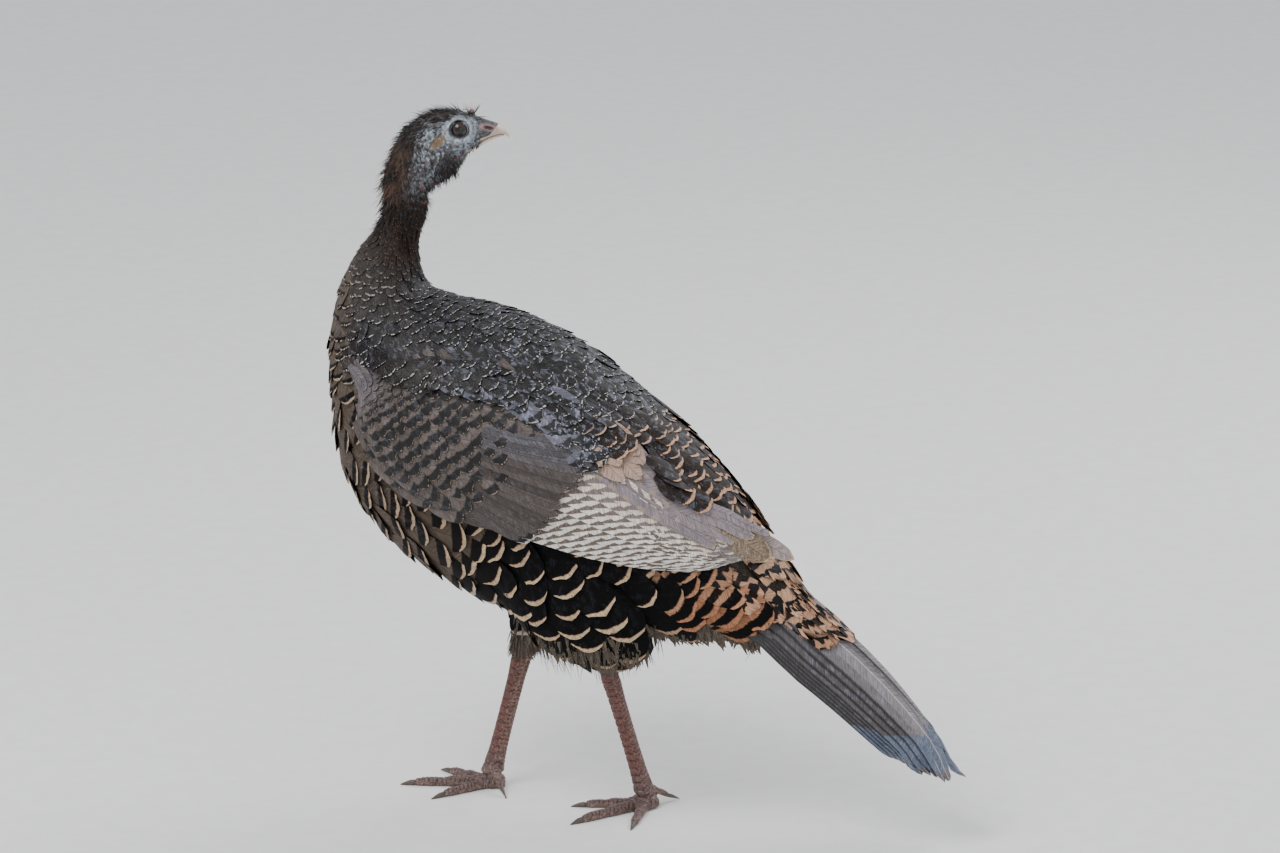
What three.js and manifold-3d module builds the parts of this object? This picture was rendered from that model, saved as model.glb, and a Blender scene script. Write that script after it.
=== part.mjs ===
// Wild turkey hen, life size, as a still standing model.
// The bird faces -Y, its left side is +X and +Z is up; both feet stand on z = 0.
// She strides with her right foot forward and looks back over her right shoulder.
// Millimetres and degrees throughout.
import * as THREE from 'three';
import Module from 'manifold-3d';

const wasm = await Module();
wasm.setup();

// ---------------------------------------------------------------- driving dimensions
const GAP = 0.3;                 // clearance between neighbouring sub-parts
const BODY_PITCH = 38;           // slope of the trunk axis, down towards the tail
const BODY_ORIGIN = [0, -200, 440]; // point on the trunk axis at the shoulders
const HEAD_ORIGIN = [-2.6, -153.7, 640]; // top joint of the neck, inside the skull
const HEAD_TURN = 110;           // compass angle of the bill, counted from +X towards +Y
const EYE_RADIUS = 8.4;
const WING_SKIN = 12;            // thickness of the folded wing at the wrist
const WING_TIP_SKIN = 4;
const TAIL_LENGTH = 300;         // from the root of the quills to the tip
const TAIL_HALF_WIDTH = 47;
const TAIL_STEP_BACK = 30;       // how much shorter the outermost tail feathers reach
const TAIL_THICKNESS = 15;
const TOE_WIDTH = 11;
const CLAW_LENGTH = 15;
const RING = 28;                 // points round a large cross-section

// ---------------------------------------------------------------- colours
const COLOURS = {
  dark_feather: ['#2b2622', 0.6],
  bronze_feather: ['#54402f', 0.55],
  wing_feather: ['#6d6357', 0.6],
  tail_feather: ['#7b5a40', 0.6],
  down: ['#6b6356', 0.8],
  skin: ['#8d9097', 0.6],
  bristle: ['#5a4a40', 0.75],
  leg: ['#8a5550', 0.5],
  horn: ['#d9ccb4', 0.35],
  claw: ['#57493f', 0.4],
  eye: ['#1a1310', 0.1],
  ear: ['#a88a6a', 0.8],
  snood: ['#b9837c', 0.6],
};

function material(name) {
  const [color, roughness] = COLOURS[name];
  return new THREE.MeshStandardMaterial({ color, roughness, metalness: 0 });
}

// ---------------------------------------------------------------- small helpers
const rad = THREE.MathUtils.degToRad;
const lerp = THREE.MathUtils.lerp;
const V = (x, y, z) => new THREE.Vector3(x, y, z);

// Smooth value at t from a table of [t, value, ...] rows, by cubic Hermite steps.
function tableAt(rows, t, column) {
  let k = 0;
  while (k < rows.length - 2 && t > rows[k + 1][0]) k += 1;
  const slope = (i) => {
    const a = rows[Math.max(0, i - 1)];
    const b = rows[Math.min(rows.length - 1, i + 1)];
    return (b[column] - a[column]) / (b[0] - a[0]);
  };
  const [r0, r1] = [rows[k], rows[k + 1]];
  const span = r1[0] - r0[0];
  const u = THREE.MathUtils.clamp((t - r0[0]) / span, 0, 1);
  const [u2, u3] = [u * u, u * u * u];
  return (2 * u3 - 3 * u2 + 1) * r0[column] + (u3 - 2 * u2 + u) * span * slope(k)
    + (3 * u2 - 2 * u3) * r1[column] + (u3 - u2) * span * slope(k + 1);
}

// One closed cross-section: a superellipse in the plane of `wide` and `high`.
function section(centre, wide, high, halfWide, halfHigh, power = 2, count = RING, grow = 0) {
  const ring = [];
  for (let k = 0; k < count; k += 1) {
    const a = (k + 0.5) / count * 2 * Math.PI;
    const [c, s] = [Math.cos(a), Math.sin(a)];
    const reach = (Math.abs(c) ** power + Math.abs(s) ** power) ** (-1 / power);
    ring.push(centre.clone()
      .addScaledVector(wide, c * reach * (halfWide + grow))
      .addScaledVector(high, s * reach * (halfHigh + grow)));
  }
  return ring;
}

// A closed skin over a row of rings, with a fan at each end.
function loft(rings) {
  const count = rings[0].length;
  const points = [];
  const faces = [];
  for (const ring of rings) for (const p of ring) points.push(p.x, p.y, p.z);
  for (let r = 0; r < rings.length - 1; r += 1) {
    for (let k = 0; k < count; k += 1) {
      const [a, b] = [r * count + k, r * count + (k + 1) % count];
      faces.push(a, b, b + count, a, b + count, a + count);
    }
  }
  const cap = (ring, first, flip) => {
    const middle = ring.reduce((sum, p) => sum.add(p), V(0, 0, 0)).divideScalar(count);
    const centre = points.length / 3;
    points.push(middle.x, middle.y, middle.z);
    for (let k = 0; k < count; k += 1) {
      const [a, b] = [first + k, first + (k + 1) % count];
      if (flip) faces.push(centre, b, a);
      else faces.push(centre, a, b);
    }
  };
  cap(rings[0], 0, true);
  cap(rings[rings.length - 1], (rings.length - 1) * count, false);
  const mesh = new wasm.Mesh({
    numProp: 3,
    vertProperties: new Float32Array(points),
    triVerts: new Uint32Array(faces),
  });
  const solid = new wasm.Manifold(mesh);
  if (solid.volume() > 0) return solid;
  for (let i = 0; i < faces.length; i += 3) {
    [faces[i], faces[i + 1]] = [faces[i + 1], faces[i]];
  }
  return new wasm.Manifold(new wasm.Mesh({
    numProp: 3,
    vertProperties: new Float32Array(points),
    triVerts: new Uint32Array(faces),
  }));
}

// A three.js geometry, moved by a matrix, as a solid for cutting.
function solidFrom(geometry, matrix) {
  const place = geometry.clone().applyMatrix4(matrix);
  const position = place.getAttribute('position');
  const seen = new Map();
  const points = [];
  const remap = [];
  for (let i = 0; i < position.count; i += 1) {
    const p = [position.getX(i), position.getY(i), position.getZ(i)];
    const key = p.map((value) => value.toFixed(4)).join(',');
    if (!seen.has(key)) {
      seen.set(key, points.length / 3);
      points.push(...p);
    }
    remap.push(seen.get(key));
  }
  const index = place.getIndex() ? Array.from(place.getIndex().array) : remap.map((_, i) => i);
  const faces = [];
  for (let i = 0; i < index.length; i += 3) {
    const [a, b, c] = [remap[index[i]], remap[index[i + 1]], remap[index[i + 2]]];
    if (a !== b && b !== c && c !== a) faces.push(a, b, c);
  }
  return new wasm.Manifold(new wasm.Mesh({
    numProp: 3,
    vertProperties: new Float32Array(points),
    triVerts: new Uint32Array(faces),
  }));
}

// The largest separate piece of a solid, so that a cut leaves no crumbs.
function largest(solid) {
  return solid.decompose().reduce((best, piece) => (piece.volume() > best.volume() ? piece : best));
}

const turkey = new THREE.Group();

function addNode(name, solid, colour) {
  const mesh = largest(solid).getMesh();
  const geometry = new THREE.BufferGeometry();
  geometry.setAttribute('position', new THREE.BufferAttribute(mesh.vertProperties, 3));
  geometry.setIndex(new THREE.BufferAttribute(mesh.triVerts, 1));
  const node = new THREE.Mesh(geometry, material(colour));
  node.name = name;
  turkey.add(node);
}

// ---------------------------------------------------------------- trunk
// Rows: distance along the trunk axis, centre height off it, half depth, half width.
const TRUNK = [
  [-38, 16, 14, 18],
  [-33, 14, 27, 33],
  [-23, 12, 39, 48],
  [-7, 10, 54, 60],
  [11, 8, 70, 71],
  [34, 0, 89, 81],
  [63, -2, 110, 87],
  [97, -1, 126, 91],
  [132, 2, 135, 93],
  [170, 6, 138, 94],
  [210, 11, 136, 93],
  [250, 16, 132, 90],
  [290, 23, 124, 85],
  [330, 33, 111, 78],
  [365, 43, 94, 69],
  [395, 50, 78, 60],
  [425, 59, 61, 50],
  [452, 69, 47, 42],
  [470, 71, 39, 36],
  [478, 70, 28, 26],
];
const TRUNK_POWER = 2.25;
const pitch = rad(BODY_PITCH);
const ALONG = V(0, Math.cos(pitch), -Math.sin(pitch));
const ACROSS = V(0, Math.sin(pitch), Math.cos(pitch));
const SIDE = V(1, 0, 0);

function bodyPoint(along, across, side = 0) {
  return V(...BODY_ORIGIN).addScaledVector(ALONG, along)
    .addScaledVector(ACROSS, across).addScaledVector(SIDE, side);
}

function trunkSolid(grow) {
  return loft(TRUNK.map(([t, centre, deep, wide], row) => {
    const end = row === 0 ? -grow : row === TRUNK.length - 1 ? grow : 0;
    return section(bodyPoint(t + end, centre), SIDE, ACROSS, wide, deep, TRUNK_POWER, RING, grow);
  }));
}

// Half width of the trunk at a height across its axis; zero outside its outline.
function trunkHalfWidth(along, across) {
  const centre = tableAt(TRUNK, along, 1);
  const deep = tableAt(TRUNK, along, 2);
  const wide = tableAt(TRUNK, along, 3);
  const off = Math.abs(across - centre) / deep;
  return off >= 1 ? 0 : wide * (1 - off ** TRUNK_POWER) ** (1 / TRUNK_POWER);
}

const trunk = trunkSolid(0);
const trunkRoom = trunkSolid(GAP);

// ---------------------------------------------------------------- neck and head
// The neck and head lie in one upright plane that turns from the body's line to the bill's.
const turn = rad(HEAD_TURN);
const FORWARD = V(Math.cos(turn), Math.sin(turn), 0);
const LATERAL = V(Math.sin(turn), -Math.cos(turn), 0); // towards her right side
const UP = V(0, 0, 1);

function headPoint(forward, up, side = 0) {
  return V(...HEAD_ORIGIN).addScaledVector(FORWARD, forward)
    .addScaledVector(UP, up).addScaledVector(LATERAL, side);
}

// Rows: [y, z] of the outline towards the breast, [y, z] of the outline towards the
// back, half width. These stations lie in the body's middle plane.
const NECK = [
  [[-226, 428], [-112, 420], 66],
  [[-232, 458], [-122, 456], 62],
  [[-230, 482], [-134, 484], 54],
  [[-223, 504], [-149, 507], 43],
  [[-209, 531], [-152, 536], 33],
  [[-191, 553], [-146, 555], 26.5],
  [[-183, 568], [-140, 570], 23],
  [[-181, 582], [-139, 581], 21.5],
];
// Rows: [forward, up] of the nape and crown, [forward, up] of the throat and jaw,
// half width, all from the top joint of the neck in the plane of the bill.
const HEAD = [
  [[-29, -62], [8, -60], 21],
  [[-29, -45], [12.5, -51], 20.5],
  [[-28, -31], [23.5, -41], 20.5],
  [[-23.5, -18.4], [40, -29.8], 20],
  [[-14.5, 2.1], [47, -20.4], 19.5],
  [[-6.8, 13.2], [49.8, -16], 19.2],
  [[7.7, 24.4], [51.7, -12.8], 19],
  [[23.9, 30.2], [54.6, -10], 18.5],
  [[41.5, 30], [58, -6.7], 17.6],
  [[53.4, 26.3], [61.4, -4.6], 13.4],
  [[63.9, 23.3], [63.9, -4.2], 10.4],
];

function headSection([back, front, wide], side, grow = 0, count = 24) {
  const a = headPoint(...back, side);
  const b = headPoint(...front, side);
  const half = a.distanceTo(b) / 2;
  const high = a.clone().sub(b).normalize();
  return section(a.add(b).multiplyScalar(0.5), LATERAL, high, wide, half, 2.15, count, grow);
}

function neckSection([front, back, wide], count = 24) {
  const a = V(0, front[0], front[1]);
  const b = V(0, back[0], back[1]);
  const half = a.distanceTo(b) / 2;
  const high = a.clone().sub(b).normalize();
  return section(a.add(b).multiplyScalar(0.5), SIDE, high, wide, half, 2.1, count);
}

// The station between two rows, used where a sub-part ends in a cut.
function between(rowA, rowB, share) {
  const mix = (p, q) => [lerp(p[0], q[0], share), lerp(p[1], q[1], share)];
  return [mix(rowA[0], rowB[0]), mix(rowA[1], rowB[1]), lerp(rowA[2], rowB[2], share)];
}

const HEAD_FIRST = 3;   // the head begins at this row; the neck ends just below it
const cutShare = 1 - 2.2 * GAP / 15;
const neckEnd = between(HEAD[HEAD_FIRST - 1], HEAD[HEAD_FIRST], cutShare);
const lowerNeckEnd = between(NECK[6], NECK[7], 1 - 1.4 * GAP / 13);

const neckLower = loft([
  ...NECK.slice(0, 7).map((row) => neckSection(row)),
  neckSection(lowerNeckEnd),
]);
const neckUpper = loft([
  neckSection(NECK[7]),
  ...HEAD.slice(1, HEAD_FIRST).map((row) => headSection(row, 0)),
  headSection(neckEnd, 0),
]);
const headWhole = loft(HEAD.slice(HEAD_FIRST).map((row) => headSection(row, 0)));
const headRoom = loft(HEAD.slice(HEAD_FIRST).map((row) => headSection(row, 0, GAP)));

// ---------------------------------------------------------------- eyes, ears and snood
const EYE_AT = [44.5, 14.4, 11.8];
const EAR_AT = [24, 3.4, 18.2];
const EAR_SIZE = [9.5, 5, 2.4];
const EAR_SLOPE = 42;
const SNOOD_AT = [56.6, 26.6];
const SNOOD_SIZE = [3, 5.5, 3];  // length, height, width

function ball(at, sizes, slope = 0, grow = 0, detail = [12, 9]) {
  const grown = sizes.map((size) => size + grow);
  const shape = new THREE.SphereGeometry(1, ...detail);
  const axes = new THREE.Matrix4().makeBasis(FORWARD, UP, LATERAL);
  const matrix = new THREE.Matrix4().setPosition(at)
    .multiply(axes)
    .multiply(new THREE.Matrix4().makeRotationZ(rad(slope)))
    .multiply(new THREE.Matrix4().makeScale(...grown));
  return solidFrom(shape, matrix);
}

let head = headWhole;
for (const [side, name] of [[1, 'right'], [-1, 'left']]) {
  const eyeAt = headPoint(EYE_AT[0], EYE_AT[1], side * EYE_AT[2]);
  const eyeSizes = [EYE_RADIUS, EYE_RADIUS, EYE_RADIUS];
  head = head.subtract(ball(eyeAt, eyeSizes, 0, GAP));
  addNode(`eye_${name}`, ball(eyeAt, eyeSizes, 0, 0), 'eye');
  const earAt = headPoint(EAR_AT[0], EAR_AT[1], side * EAR_AT[2]);
  head = head.subtract(ball(earAt, EAR_SIZE, EAR_SLOPE, GAP, [10, 6]));
  addNode(`ear_${name}`, ball(earAt, EAR_SIZE, EAR_SLOPE, 0, [10, 6]), 'ear');
}
const snoodAt = headPoint(...SNOOD_AT);
const SNOOD_LEAN = 12;
addNode('snood', ball(snoodAt, SNOOD_SIZE, SNOOD_LEAN, 0, [8, 6]).subtract(headRoom), 'snood');

addNode('head', head, 'skin');
addNode('neck_upper', neckUpper, 'skin');
addNode('neck_lower', neckLower.subtract(trunkRoom), 'bristle');

// ---------------------------------------------------------------- bill
// Rows: [forward, up] of the upper edge, [forward, up] of the lower edge, half width.
const BILL_UPPER = [
  [[64.2, 23.2], [64.2, 0.7], 10],
  [[70, 21.2], [70, 3.4], 9.1],
  [[75.5, 19.4], [75.5, 5.6], 8.1],
  [[81.3, 17.5], [81, 7.6], 6.8],
  [[86.5, 14], [86.2, 7.3], 5],
  [[89.9, 9.9], [89, 6.1], 3],
  [[91.7, 5.4], [90.9, 4.4], 1.2],
];
const BILL_LOWER = [
  [[64.2, 0.3], [64.2, -4], 9.2],
  [[69.5, 2.6], [69.5, -0.9], 8.2],
  [[75.5, 5.1], [75.5, 1.9], 6.6],
  [[81.5, 7.1], [81.5, 4.5], 4.6],
  [[86.2, 6.8], [86.2, 5.4], 2.2],
];
addNode('bill_upper', loft(BILL_UPPER.map((row) => headSection(row, 0, 0, 16))), 'horn');
addNode('bill_lower', loft(BILL_LOWER.map((row) => headSection(row, 0, 0, 12))), 'horn');

// ---------------------------------------------------------------- tail
// The folded fan is an arched blade; its outline narrows at the root and rounds at the tip.
const TAIL_ROOT = 405;           // along the trunk axis
const TAIL_RING = 22;
// Rows: share of the length, height of the ridge, droop of the sides.
const TAIL_FORM = [
  [0, 119, 26],
  [0.2, 111, 42],
  [0.4, 107, 50],
  [0.56, 107, 50],
  [0.78, 99, 40],
  [0.9, 90, 29],
  [1, 76, 18],
];

function tailSection(share, grow = 0) {
  const widen = 0.66 + 0.34 * Math.sin(Math.min(1, share * 1.35) * Math.PI / 2);
  const roundTip = Math.sqrt(Math.max(0.1, 1 - Math.max(0, (share - 0.84) / 0.17) ** 2));
  const half = TAIL_HALF_WIDTH * widen * roundTip + grow;
  const ridge = tableAt(TAIL_FORM, share, 1);
  const arch = tableAt(TAIL_FORM, share, 2);
  const thick = lerp(TAIL_THICKNESS * 1.9, 4.5, Math.min(1, share * 1.25)) + 2 * grow;
  const ring = [];
  for (let k = 0; k < TAIL_RING; k += 1) {
    const outer = k < TAIL_RING / 2;
    const step = (outer ? k : TAIL_RING - 1 - k) / (TAIL_RING / 2 - 1);
    const swing = step * 2 - 1;
    const along = TAIL_ROOT + share * (TAIL_LENGTH - TAIL_STEP_BACK * swing * swing);
    const edge = 0.5 * thick * Math.sqrt(Math.max(0.03, 1 - swing ** 4));
    const height = ridge - thick / 2 + grow - arch * Math.abs(swing) ** 1.6 + (outer ? edge : -edge);
    ring.push(bodyPoint(along, height, swing * half));
  }
  return ring;
}

const TAIL_STEPS = [0, 0.08, 0.18, 0.3, 0.43, 0.56, 0.68, 0.78, 0.86, 0.92, 0.965, 1];
const tailWhole = loft(TAIL_STEPS.map((share) => tailSection(share)));
const tailRoom = loft(TAIL_STEPS.map((share) => tailSection(share, GAP)));
addNode('tail', tailWhole.subtract(trunkRoom), 'tail_feather');

// ---------------------------------------------------------------- wings
// Rows: distance along the trunk axis of the lower edge, its height across the axis,
// then the same two for the upper edge. They run from the wrist to the wing tip.
const WING = [
  [34, -4, 33, 8],
  [50, -24, 42, 34],
  [76, -40, 66, 58],
  [112, -49, 100, 84],
  [155, -44, 142, 106],
  [200, -26, 184, 122],
  [250, -1, 226, 131],
  [305, 24, 276, 134],
  [355, 52, 330, 134],
  [400, 84, 380, 136],
  [425, 108, 412, 139],
  [436, 126, 431, 140],
];
const WING_ACROSS = 9;           // columns over the wing from its lower to its upper edge
const WING_LIFT = 14.5;          // the closed wing stands this far off the trunk
const WING_DROP = [0, 38];       // how much lower the left and right tips hang
const WING_CAMBER = 0.68;        // how far its upper and lower edges thin out
const TIP_SIDE = [74, 44];       // side distance of the free blade, mid-wing and at the tip
const FREE_FROM = 300;           // the blade leaves the flank beyond this distance
const FREE_BLEND = 90;           // distance over which it leaves
const FREE_BOW = [0.0012, 90];   // roundness of the free blade, and the height of its middle
const SHOULDER_SIDE = 62;        // least side distance of the rest of the wing
const SHOULDER_BOW = [0.004, 60]; // its roundness above this height

function wingSide(along, across) {
  const onBody = trunkHalfWidth(along, across) + WING_LIFT;
  const share = THREE.MathUtils.clamp((along - FREE_FROM) / (436 - FREE_FROM), 0, 1);
  const free = lerp(...TIP_SIDE, share) - FREE_BOW[0] * (across - FREE_BOW[1]) ** 2;
  const blend = THREE.MathUtils.smoothstep(along, FREE_FROM - FREE_BLEND, FREE_FROM + FREE_BLEND);
  const over = Math.max(0, across - SHOULDER_BOW[1]);
  const lowest = lerp(SHOULDER_SIDE - SHOULDER_BOW[0] * over ** 2, free, blend);
  return Math.max(onBody, lowest);
}

function wingSolid(side, drop) {
  const rings = WING.map(([t0, h0, t1, h1], row) => {
    const share = row / (WING.length - 1);
    const lower = drop * share ** 1.4;
    const thick = lerp(WING_SKIN, WING_TIP_SKIN, share);
    const outer = [];
    const inner = [];
    for (let k = 0; k < WING_ACROSS; k += 1) {
      const step = k / (WING_ACROSS - 1);
      const [t, h] = [lerp(t0, t1, step) - lower * 0.3, lerp(h0, h1, step) - lower];
      const bulge = Math.sqrt(1 - WING_CAMBER * (2 * step - 1) ** 2);
      const x = wingSide(t, h);
      outer.push(bodyPoint(t, h, side * (x - thick * (1 - bulge))));
      inner.push(bodyPoint(t, h, side * (x - thick)));
    }
    return [...outer, ...inner.reverse()];
  });
  return loft(rings).subtract(trunkRoom).subtract(tailRoom);
}

// ---------------------------------------------------------------- legs
// Rows: [x, y, z] of the centre, half depth along the body, half width. Feathered part.
const THIGH = {
  left: [
    [[50, 20, 262], 66, 34],
    [[50, 28, 228], 72, 38],
    [[48, 36, 198], 70, 36],
    [[44, 44, 174], 60, 30],
    [[40, 50, 160], 46, 24],
    [[36, 57, 150], 22, 14],
    [[35, 58, 144.6], 12, 11],
  ],
  right: [
    [[-48, -20, 262], 52, 32],
    [[-47, -28, 228], 48, 33],
    [[-43, -38, 196], 34, 27],
    [[-38, -46, 168], 22, 20],
    [[-34, -52, 146], 17.5, 15.5],
    [[-31, -55, 133], 14, 12],
  ],
};
const HOCK = { left: [35, 58, 144.3], right: [-31, -55, 132.7] };
const PAD = { left: [3, 84, 0], right: [-8, -79, 0] };
const FOOT_HEADING = { left: -33, right: -72 };  // middle toe, from +X towards +Y
const PAD_HEIGHT = 15;
const SHANK_HALF = [9.2, 7.3];   // half depth and half width of the bare shank

function legSection(centre, heading, halfDeep, halfWide, count = 16, grow = 0) {
  const ahead = V(Math.cos(rad(heading)), Math.sin(rad(heading)), 0);
  const across = V(-Math.sin(rad(heading)), Math.cos(rad(heading)), 0);
  return section(centre, across, ahead, halfWide, halfDeep, 2, count, grow);
}

function thighSolid(name) {
  const rows = THIGH[name];
  return loft(rows.map(([c, deep, wide]) => legSection(V(...c), -90, deep, wide, 20)))
    .subtract(trunkRoom);
}

// The bare shank: a swollen hock, a slim shaft and a flare over the toes.
function shankSolid(name) {
  const top = V(...HOCK[name]);
  const foot = V(...PAD[name]).add(V(0, 0, PAD_HEIGHT + GAP));
  const swell = [1.18, 1.12, 1, 0.96, 0.96, 1.0, 1.12, 1.3];
  const place = [0, 0.07, 0.2, 0.42, 0.64, 0.8, 0.92, 1];
  return loft(place.map((share, k) => {
    const centre = top.clone().lerp(foot, share);
    const size = swell[k];
    return legSection(centre, FOOT_HEADING[name], SHANK_HALF[0] * size, SHANK_HALF[1] * size, 14);
  }));
}

// A low rounded solid: a row of [distance, half width, height, base] stations along a
// heading; every section is flat underneath, at the height of its base.
function floorLoft(start, heading, rows, count = 12) {
  const ahead = V(Math.cos(rad(heading)), Math.sin(rad(heading)), 0);
  const across = V(-Math.sin(rad(heading)), Math.cos(rad(heading)), 0);
  return loft(rows.map(([distance, half, height, base = 0]) => {
    const centre = start.clone().addScaledVector(ahead, distance);
    centre.z = base + height * 0.42;
    return section(centre, across, UP, half, height * 0.58, 2.2, count)
      .map((p) => V(p.x, p.y, Math.max(p.z, base)));
  }));
}

// Toes: name, heading off the middle toe towards the outside, length with claw, girth.
const TOES = [
  ['middle', 0, 80, 1],
  ['inner', -38, 62, 0.92],
  ['outer', 42, 62, 0.92],
];
const HALLUX_HEADING = { left: 146, right: 40 };
const HALLUX_LENGTH = 40;
const HALLUX_LIFT = [17, 5];     // height of its underside at the root and at the claw
const HALLUX_GIRTH = 0.78;
const PAD_HALF = 13;

// Stations of a toe: it slims towards the claw and swells at each joint.
function toeRows(length, girth, first, lift) {
  const half = TOE_WIDTH / 2 * girth;
  const steps = 7;
  return Array.from({ length: steps + 1 }, (_, k) => {
    const share = k / steps;
    const swell = lerp(1.12, 0.72, share) * (1 + 0.1 * Math.cos(share * Math.PI * 5));
    const base = lerp(lift[0], lift[1], share);
    return [first + share * length, half * swell, 1.9 * half * swell, base];
  });
}

function clawRows([first, half, height, base]) {
  return [[GAP, 0.86, 0.86], [0.35 * CLAW_LENGTH, 0.66, 0.8],
    [0.7 * CLAW_LENGTH, 0.42, 0.48], [CLAW_LENGTH, 0.16, 0.16]]
    .map(([ahead, slim, low], k) => [first + ahead, half * slim, height * low, base * (1 - k / 3)]);
}

function grownRows(rows) {
  return rows.map(([distance, half, height, base], k) => [
    distance - (k === 0 ? GAP : 0), half + GAP, height + 2 * GAP, base - GAP]);
}

function buildLeg(name, mirror) {
  const pad = V(...PAD[name]);
  const heading = FOOT_HEADING[name];
  addNode(`thigh_${name}`, thighSolid(name), 'down');
  const hallux = ['hallux', HALLUX_HEADING[name], HALLUX_LENGTH, HALLUX_GIRTH, 2, HALLUX_LIFT];
  const toes = TOES.map(([toe, swing, length, girth]) => (
    [toe, heading + mirror * swing, length, girth, PAD_HALF * 0.8, [0, 0]]));
  let room = null;
  for (const [toe, direction, length, girth, first, lift] of [...toes, hallux]) {
    const rows = toeRows(length - CLAW_LENGTH, girth, first, lift);
    const solid = floorLoft(pad, direction, rows);
    const around = floorLoft(pad, direction, grownRows(rows));
    addNode(`toe_${name}_${toe}`, room ? solid.subtract(room) : solid, 'leg');
    room = room ? room.add(around) : around;
    const claw = floorLoft(pad, direction, clawRows(rows[rows.length - 1]), 10);
    addNode(`claw_${name}_${toe}`, claw, 'claw');
  }
  const padRows = [
    [-PAD_HALF, PAD_HALF * 0.5, PAD_HEIGHT * 0.62],
    [-PAD_HALF * 0.6, PAD_HALF * 0.88, PAD_HEIGHT * 0.94],
    [0, PAD_HALF, PAD_HEIGHT],
    [PAD_HALF * 0.6, PAD_HALF * 0.9, PAD_HEIGHT * 0.94],
    [PAD_HALF, PAD_HALF * 0.55, PAD_HEIGHT * 0.66],
  ];
  addNode(`foot_${name}`, floorLoft(pad, heading, padRows, 16).subtract(room), 'leg');
  addNode(`shank_${name}`, shankSolid(name).subtract(room), 'leg');
}

buildLeg('left', 1);
buildLeg('right', -1);

const thighRoom = ['left', 'right'].map((name) => loft(
  THIGH[name].map(([c, deep, wide]) => legSection(V(...c), -90, deep, wide, 20, GAP)),
));
addNode('wing_left', wingSolid(1, WING_DROP[0]).subtract(thighRoom[0]), 'wing_feather');
addNode('wing_right', wingSolid(-1, WING_DROP[1]).subtract(thighRoom[1]), 'wing_feather');
addNode('trunk', trunk, 'dark_feather');

// ---------------------------------------------------------------- origin
// The origin is the middle of the bird's own box, at the level of its soles.
const box = new THREE.Box3().setFromObject(turkey);
turkey.position.set(-(box.min.x + box.max.x) / 2, -(box.min.y + box.max.y) / 2, -box.min.z);
turkey.updateMatrixWorld(true);

export default turkey;
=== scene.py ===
"""Wild turkey hen, life size: skin, eyes, bill, claws and the whole plumage as solid vanes.

The bird stands on z = 0, faces -Y and looks back over her right shoulder; +X is her left.
Sizes inside the functions are millimetres, and meshes are written in metres.
"""
import math

import bpy
import numpy as np
from bpy.props import FloatProperty, FloatVectorProperty, IntProperty, PointerProperty
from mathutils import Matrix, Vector
from mathutils.bvhtree import BVHTree
from mathutils.kdtree import KDTree


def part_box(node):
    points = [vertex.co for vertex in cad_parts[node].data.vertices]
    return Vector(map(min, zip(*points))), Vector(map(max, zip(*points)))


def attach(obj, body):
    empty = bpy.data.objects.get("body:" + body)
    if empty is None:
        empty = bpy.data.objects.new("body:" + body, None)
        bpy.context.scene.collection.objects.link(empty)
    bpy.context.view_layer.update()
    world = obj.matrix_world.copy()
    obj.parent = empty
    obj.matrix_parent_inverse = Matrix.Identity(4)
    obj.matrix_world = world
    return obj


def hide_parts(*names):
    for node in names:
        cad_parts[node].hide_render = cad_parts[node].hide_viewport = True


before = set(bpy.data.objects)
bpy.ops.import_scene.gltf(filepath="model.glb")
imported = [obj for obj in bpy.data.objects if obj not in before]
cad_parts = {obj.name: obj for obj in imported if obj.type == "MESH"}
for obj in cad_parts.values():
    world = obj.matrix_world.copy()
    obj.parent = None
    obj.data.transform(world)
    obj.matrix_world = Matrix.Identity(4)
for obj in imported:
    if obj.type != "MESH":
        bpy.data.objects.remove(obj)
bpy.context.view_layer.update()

bl_info = {
    "name": "Wild turkey hen",
    "version": (1, 0, 0),
    "blender": (4, 5, 0),
    "location": "View3D > Sidebar > Turkey",
    "description": "Builds the skin, plumage, eyes, bill and claws of a standing turkey hen",
    "category": "Add Mesh",
}

MM = 0.001
ROW_SHIFT = np.array([0.05, -83.83, 0.0])      # from the trunk drawing to the shared frame
BODY_PITCH = math.radians(38)                  # slope of the trunk, down towards the tail
BODY_ORIGIN = np.array([0.0, -200.0, 440.0]) + ROW_SHIFT
ALONG = np.array([0.0, math.cos(BODY_PITCH), -math.sin(BODY_PITCH)])
ACROSS = np.array([0.0, math.sin(BODY_PITCH), math.cos(BODY_PITCH)])
HEAD_TURN = math.radians(110)
HEAD_ORIGIN = np.array([-2.6, -153.7, 640.0]) + ROW_SHIFT
HEAD_FORWARD = np.array([math.cos(HEAD_TURN), math.sin(HEAD_TURN), 0.0])
HEAD_LATERAL = np.array([math.sin(HEAD_TURN), -math.cos(HEAD_TURN), 0.0])
UP = np.array([0.0, 0.0, 1.0])
DOWN = -UP
BODY_AXES = (ALONG, ACROSS, np.array([1.0, 0.0, 0.0]))


# ------------------------------------------------------------------ numbers and meshes
def smooth(low, high, value):
    """0 below low, 1 above high, with a soft step between; it falls when low is the greater."""
    share = np.clip((value - low) / (high - low), 0, 1)
    return share * share * (3 - 2 * share)


def bump(value, at, width):
    """1 where value equals at, fading to 0 on both sides."""
    return np.exp(-((value - at) / width) ** 2)


def blob(places, at, size):
    """1 at a place on a plane, fading to 0 round it."""
    return np.exp(-((places[0] - at[0]) / size[0]) ** 2 - ((places[1] - at[1]) / size[1]) ** 2)


def unit(vectors):
    return vectors / np.maximum(np.linalg.norm(vectors, axis=-1, keepdims=True), 1e-9)


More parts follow.
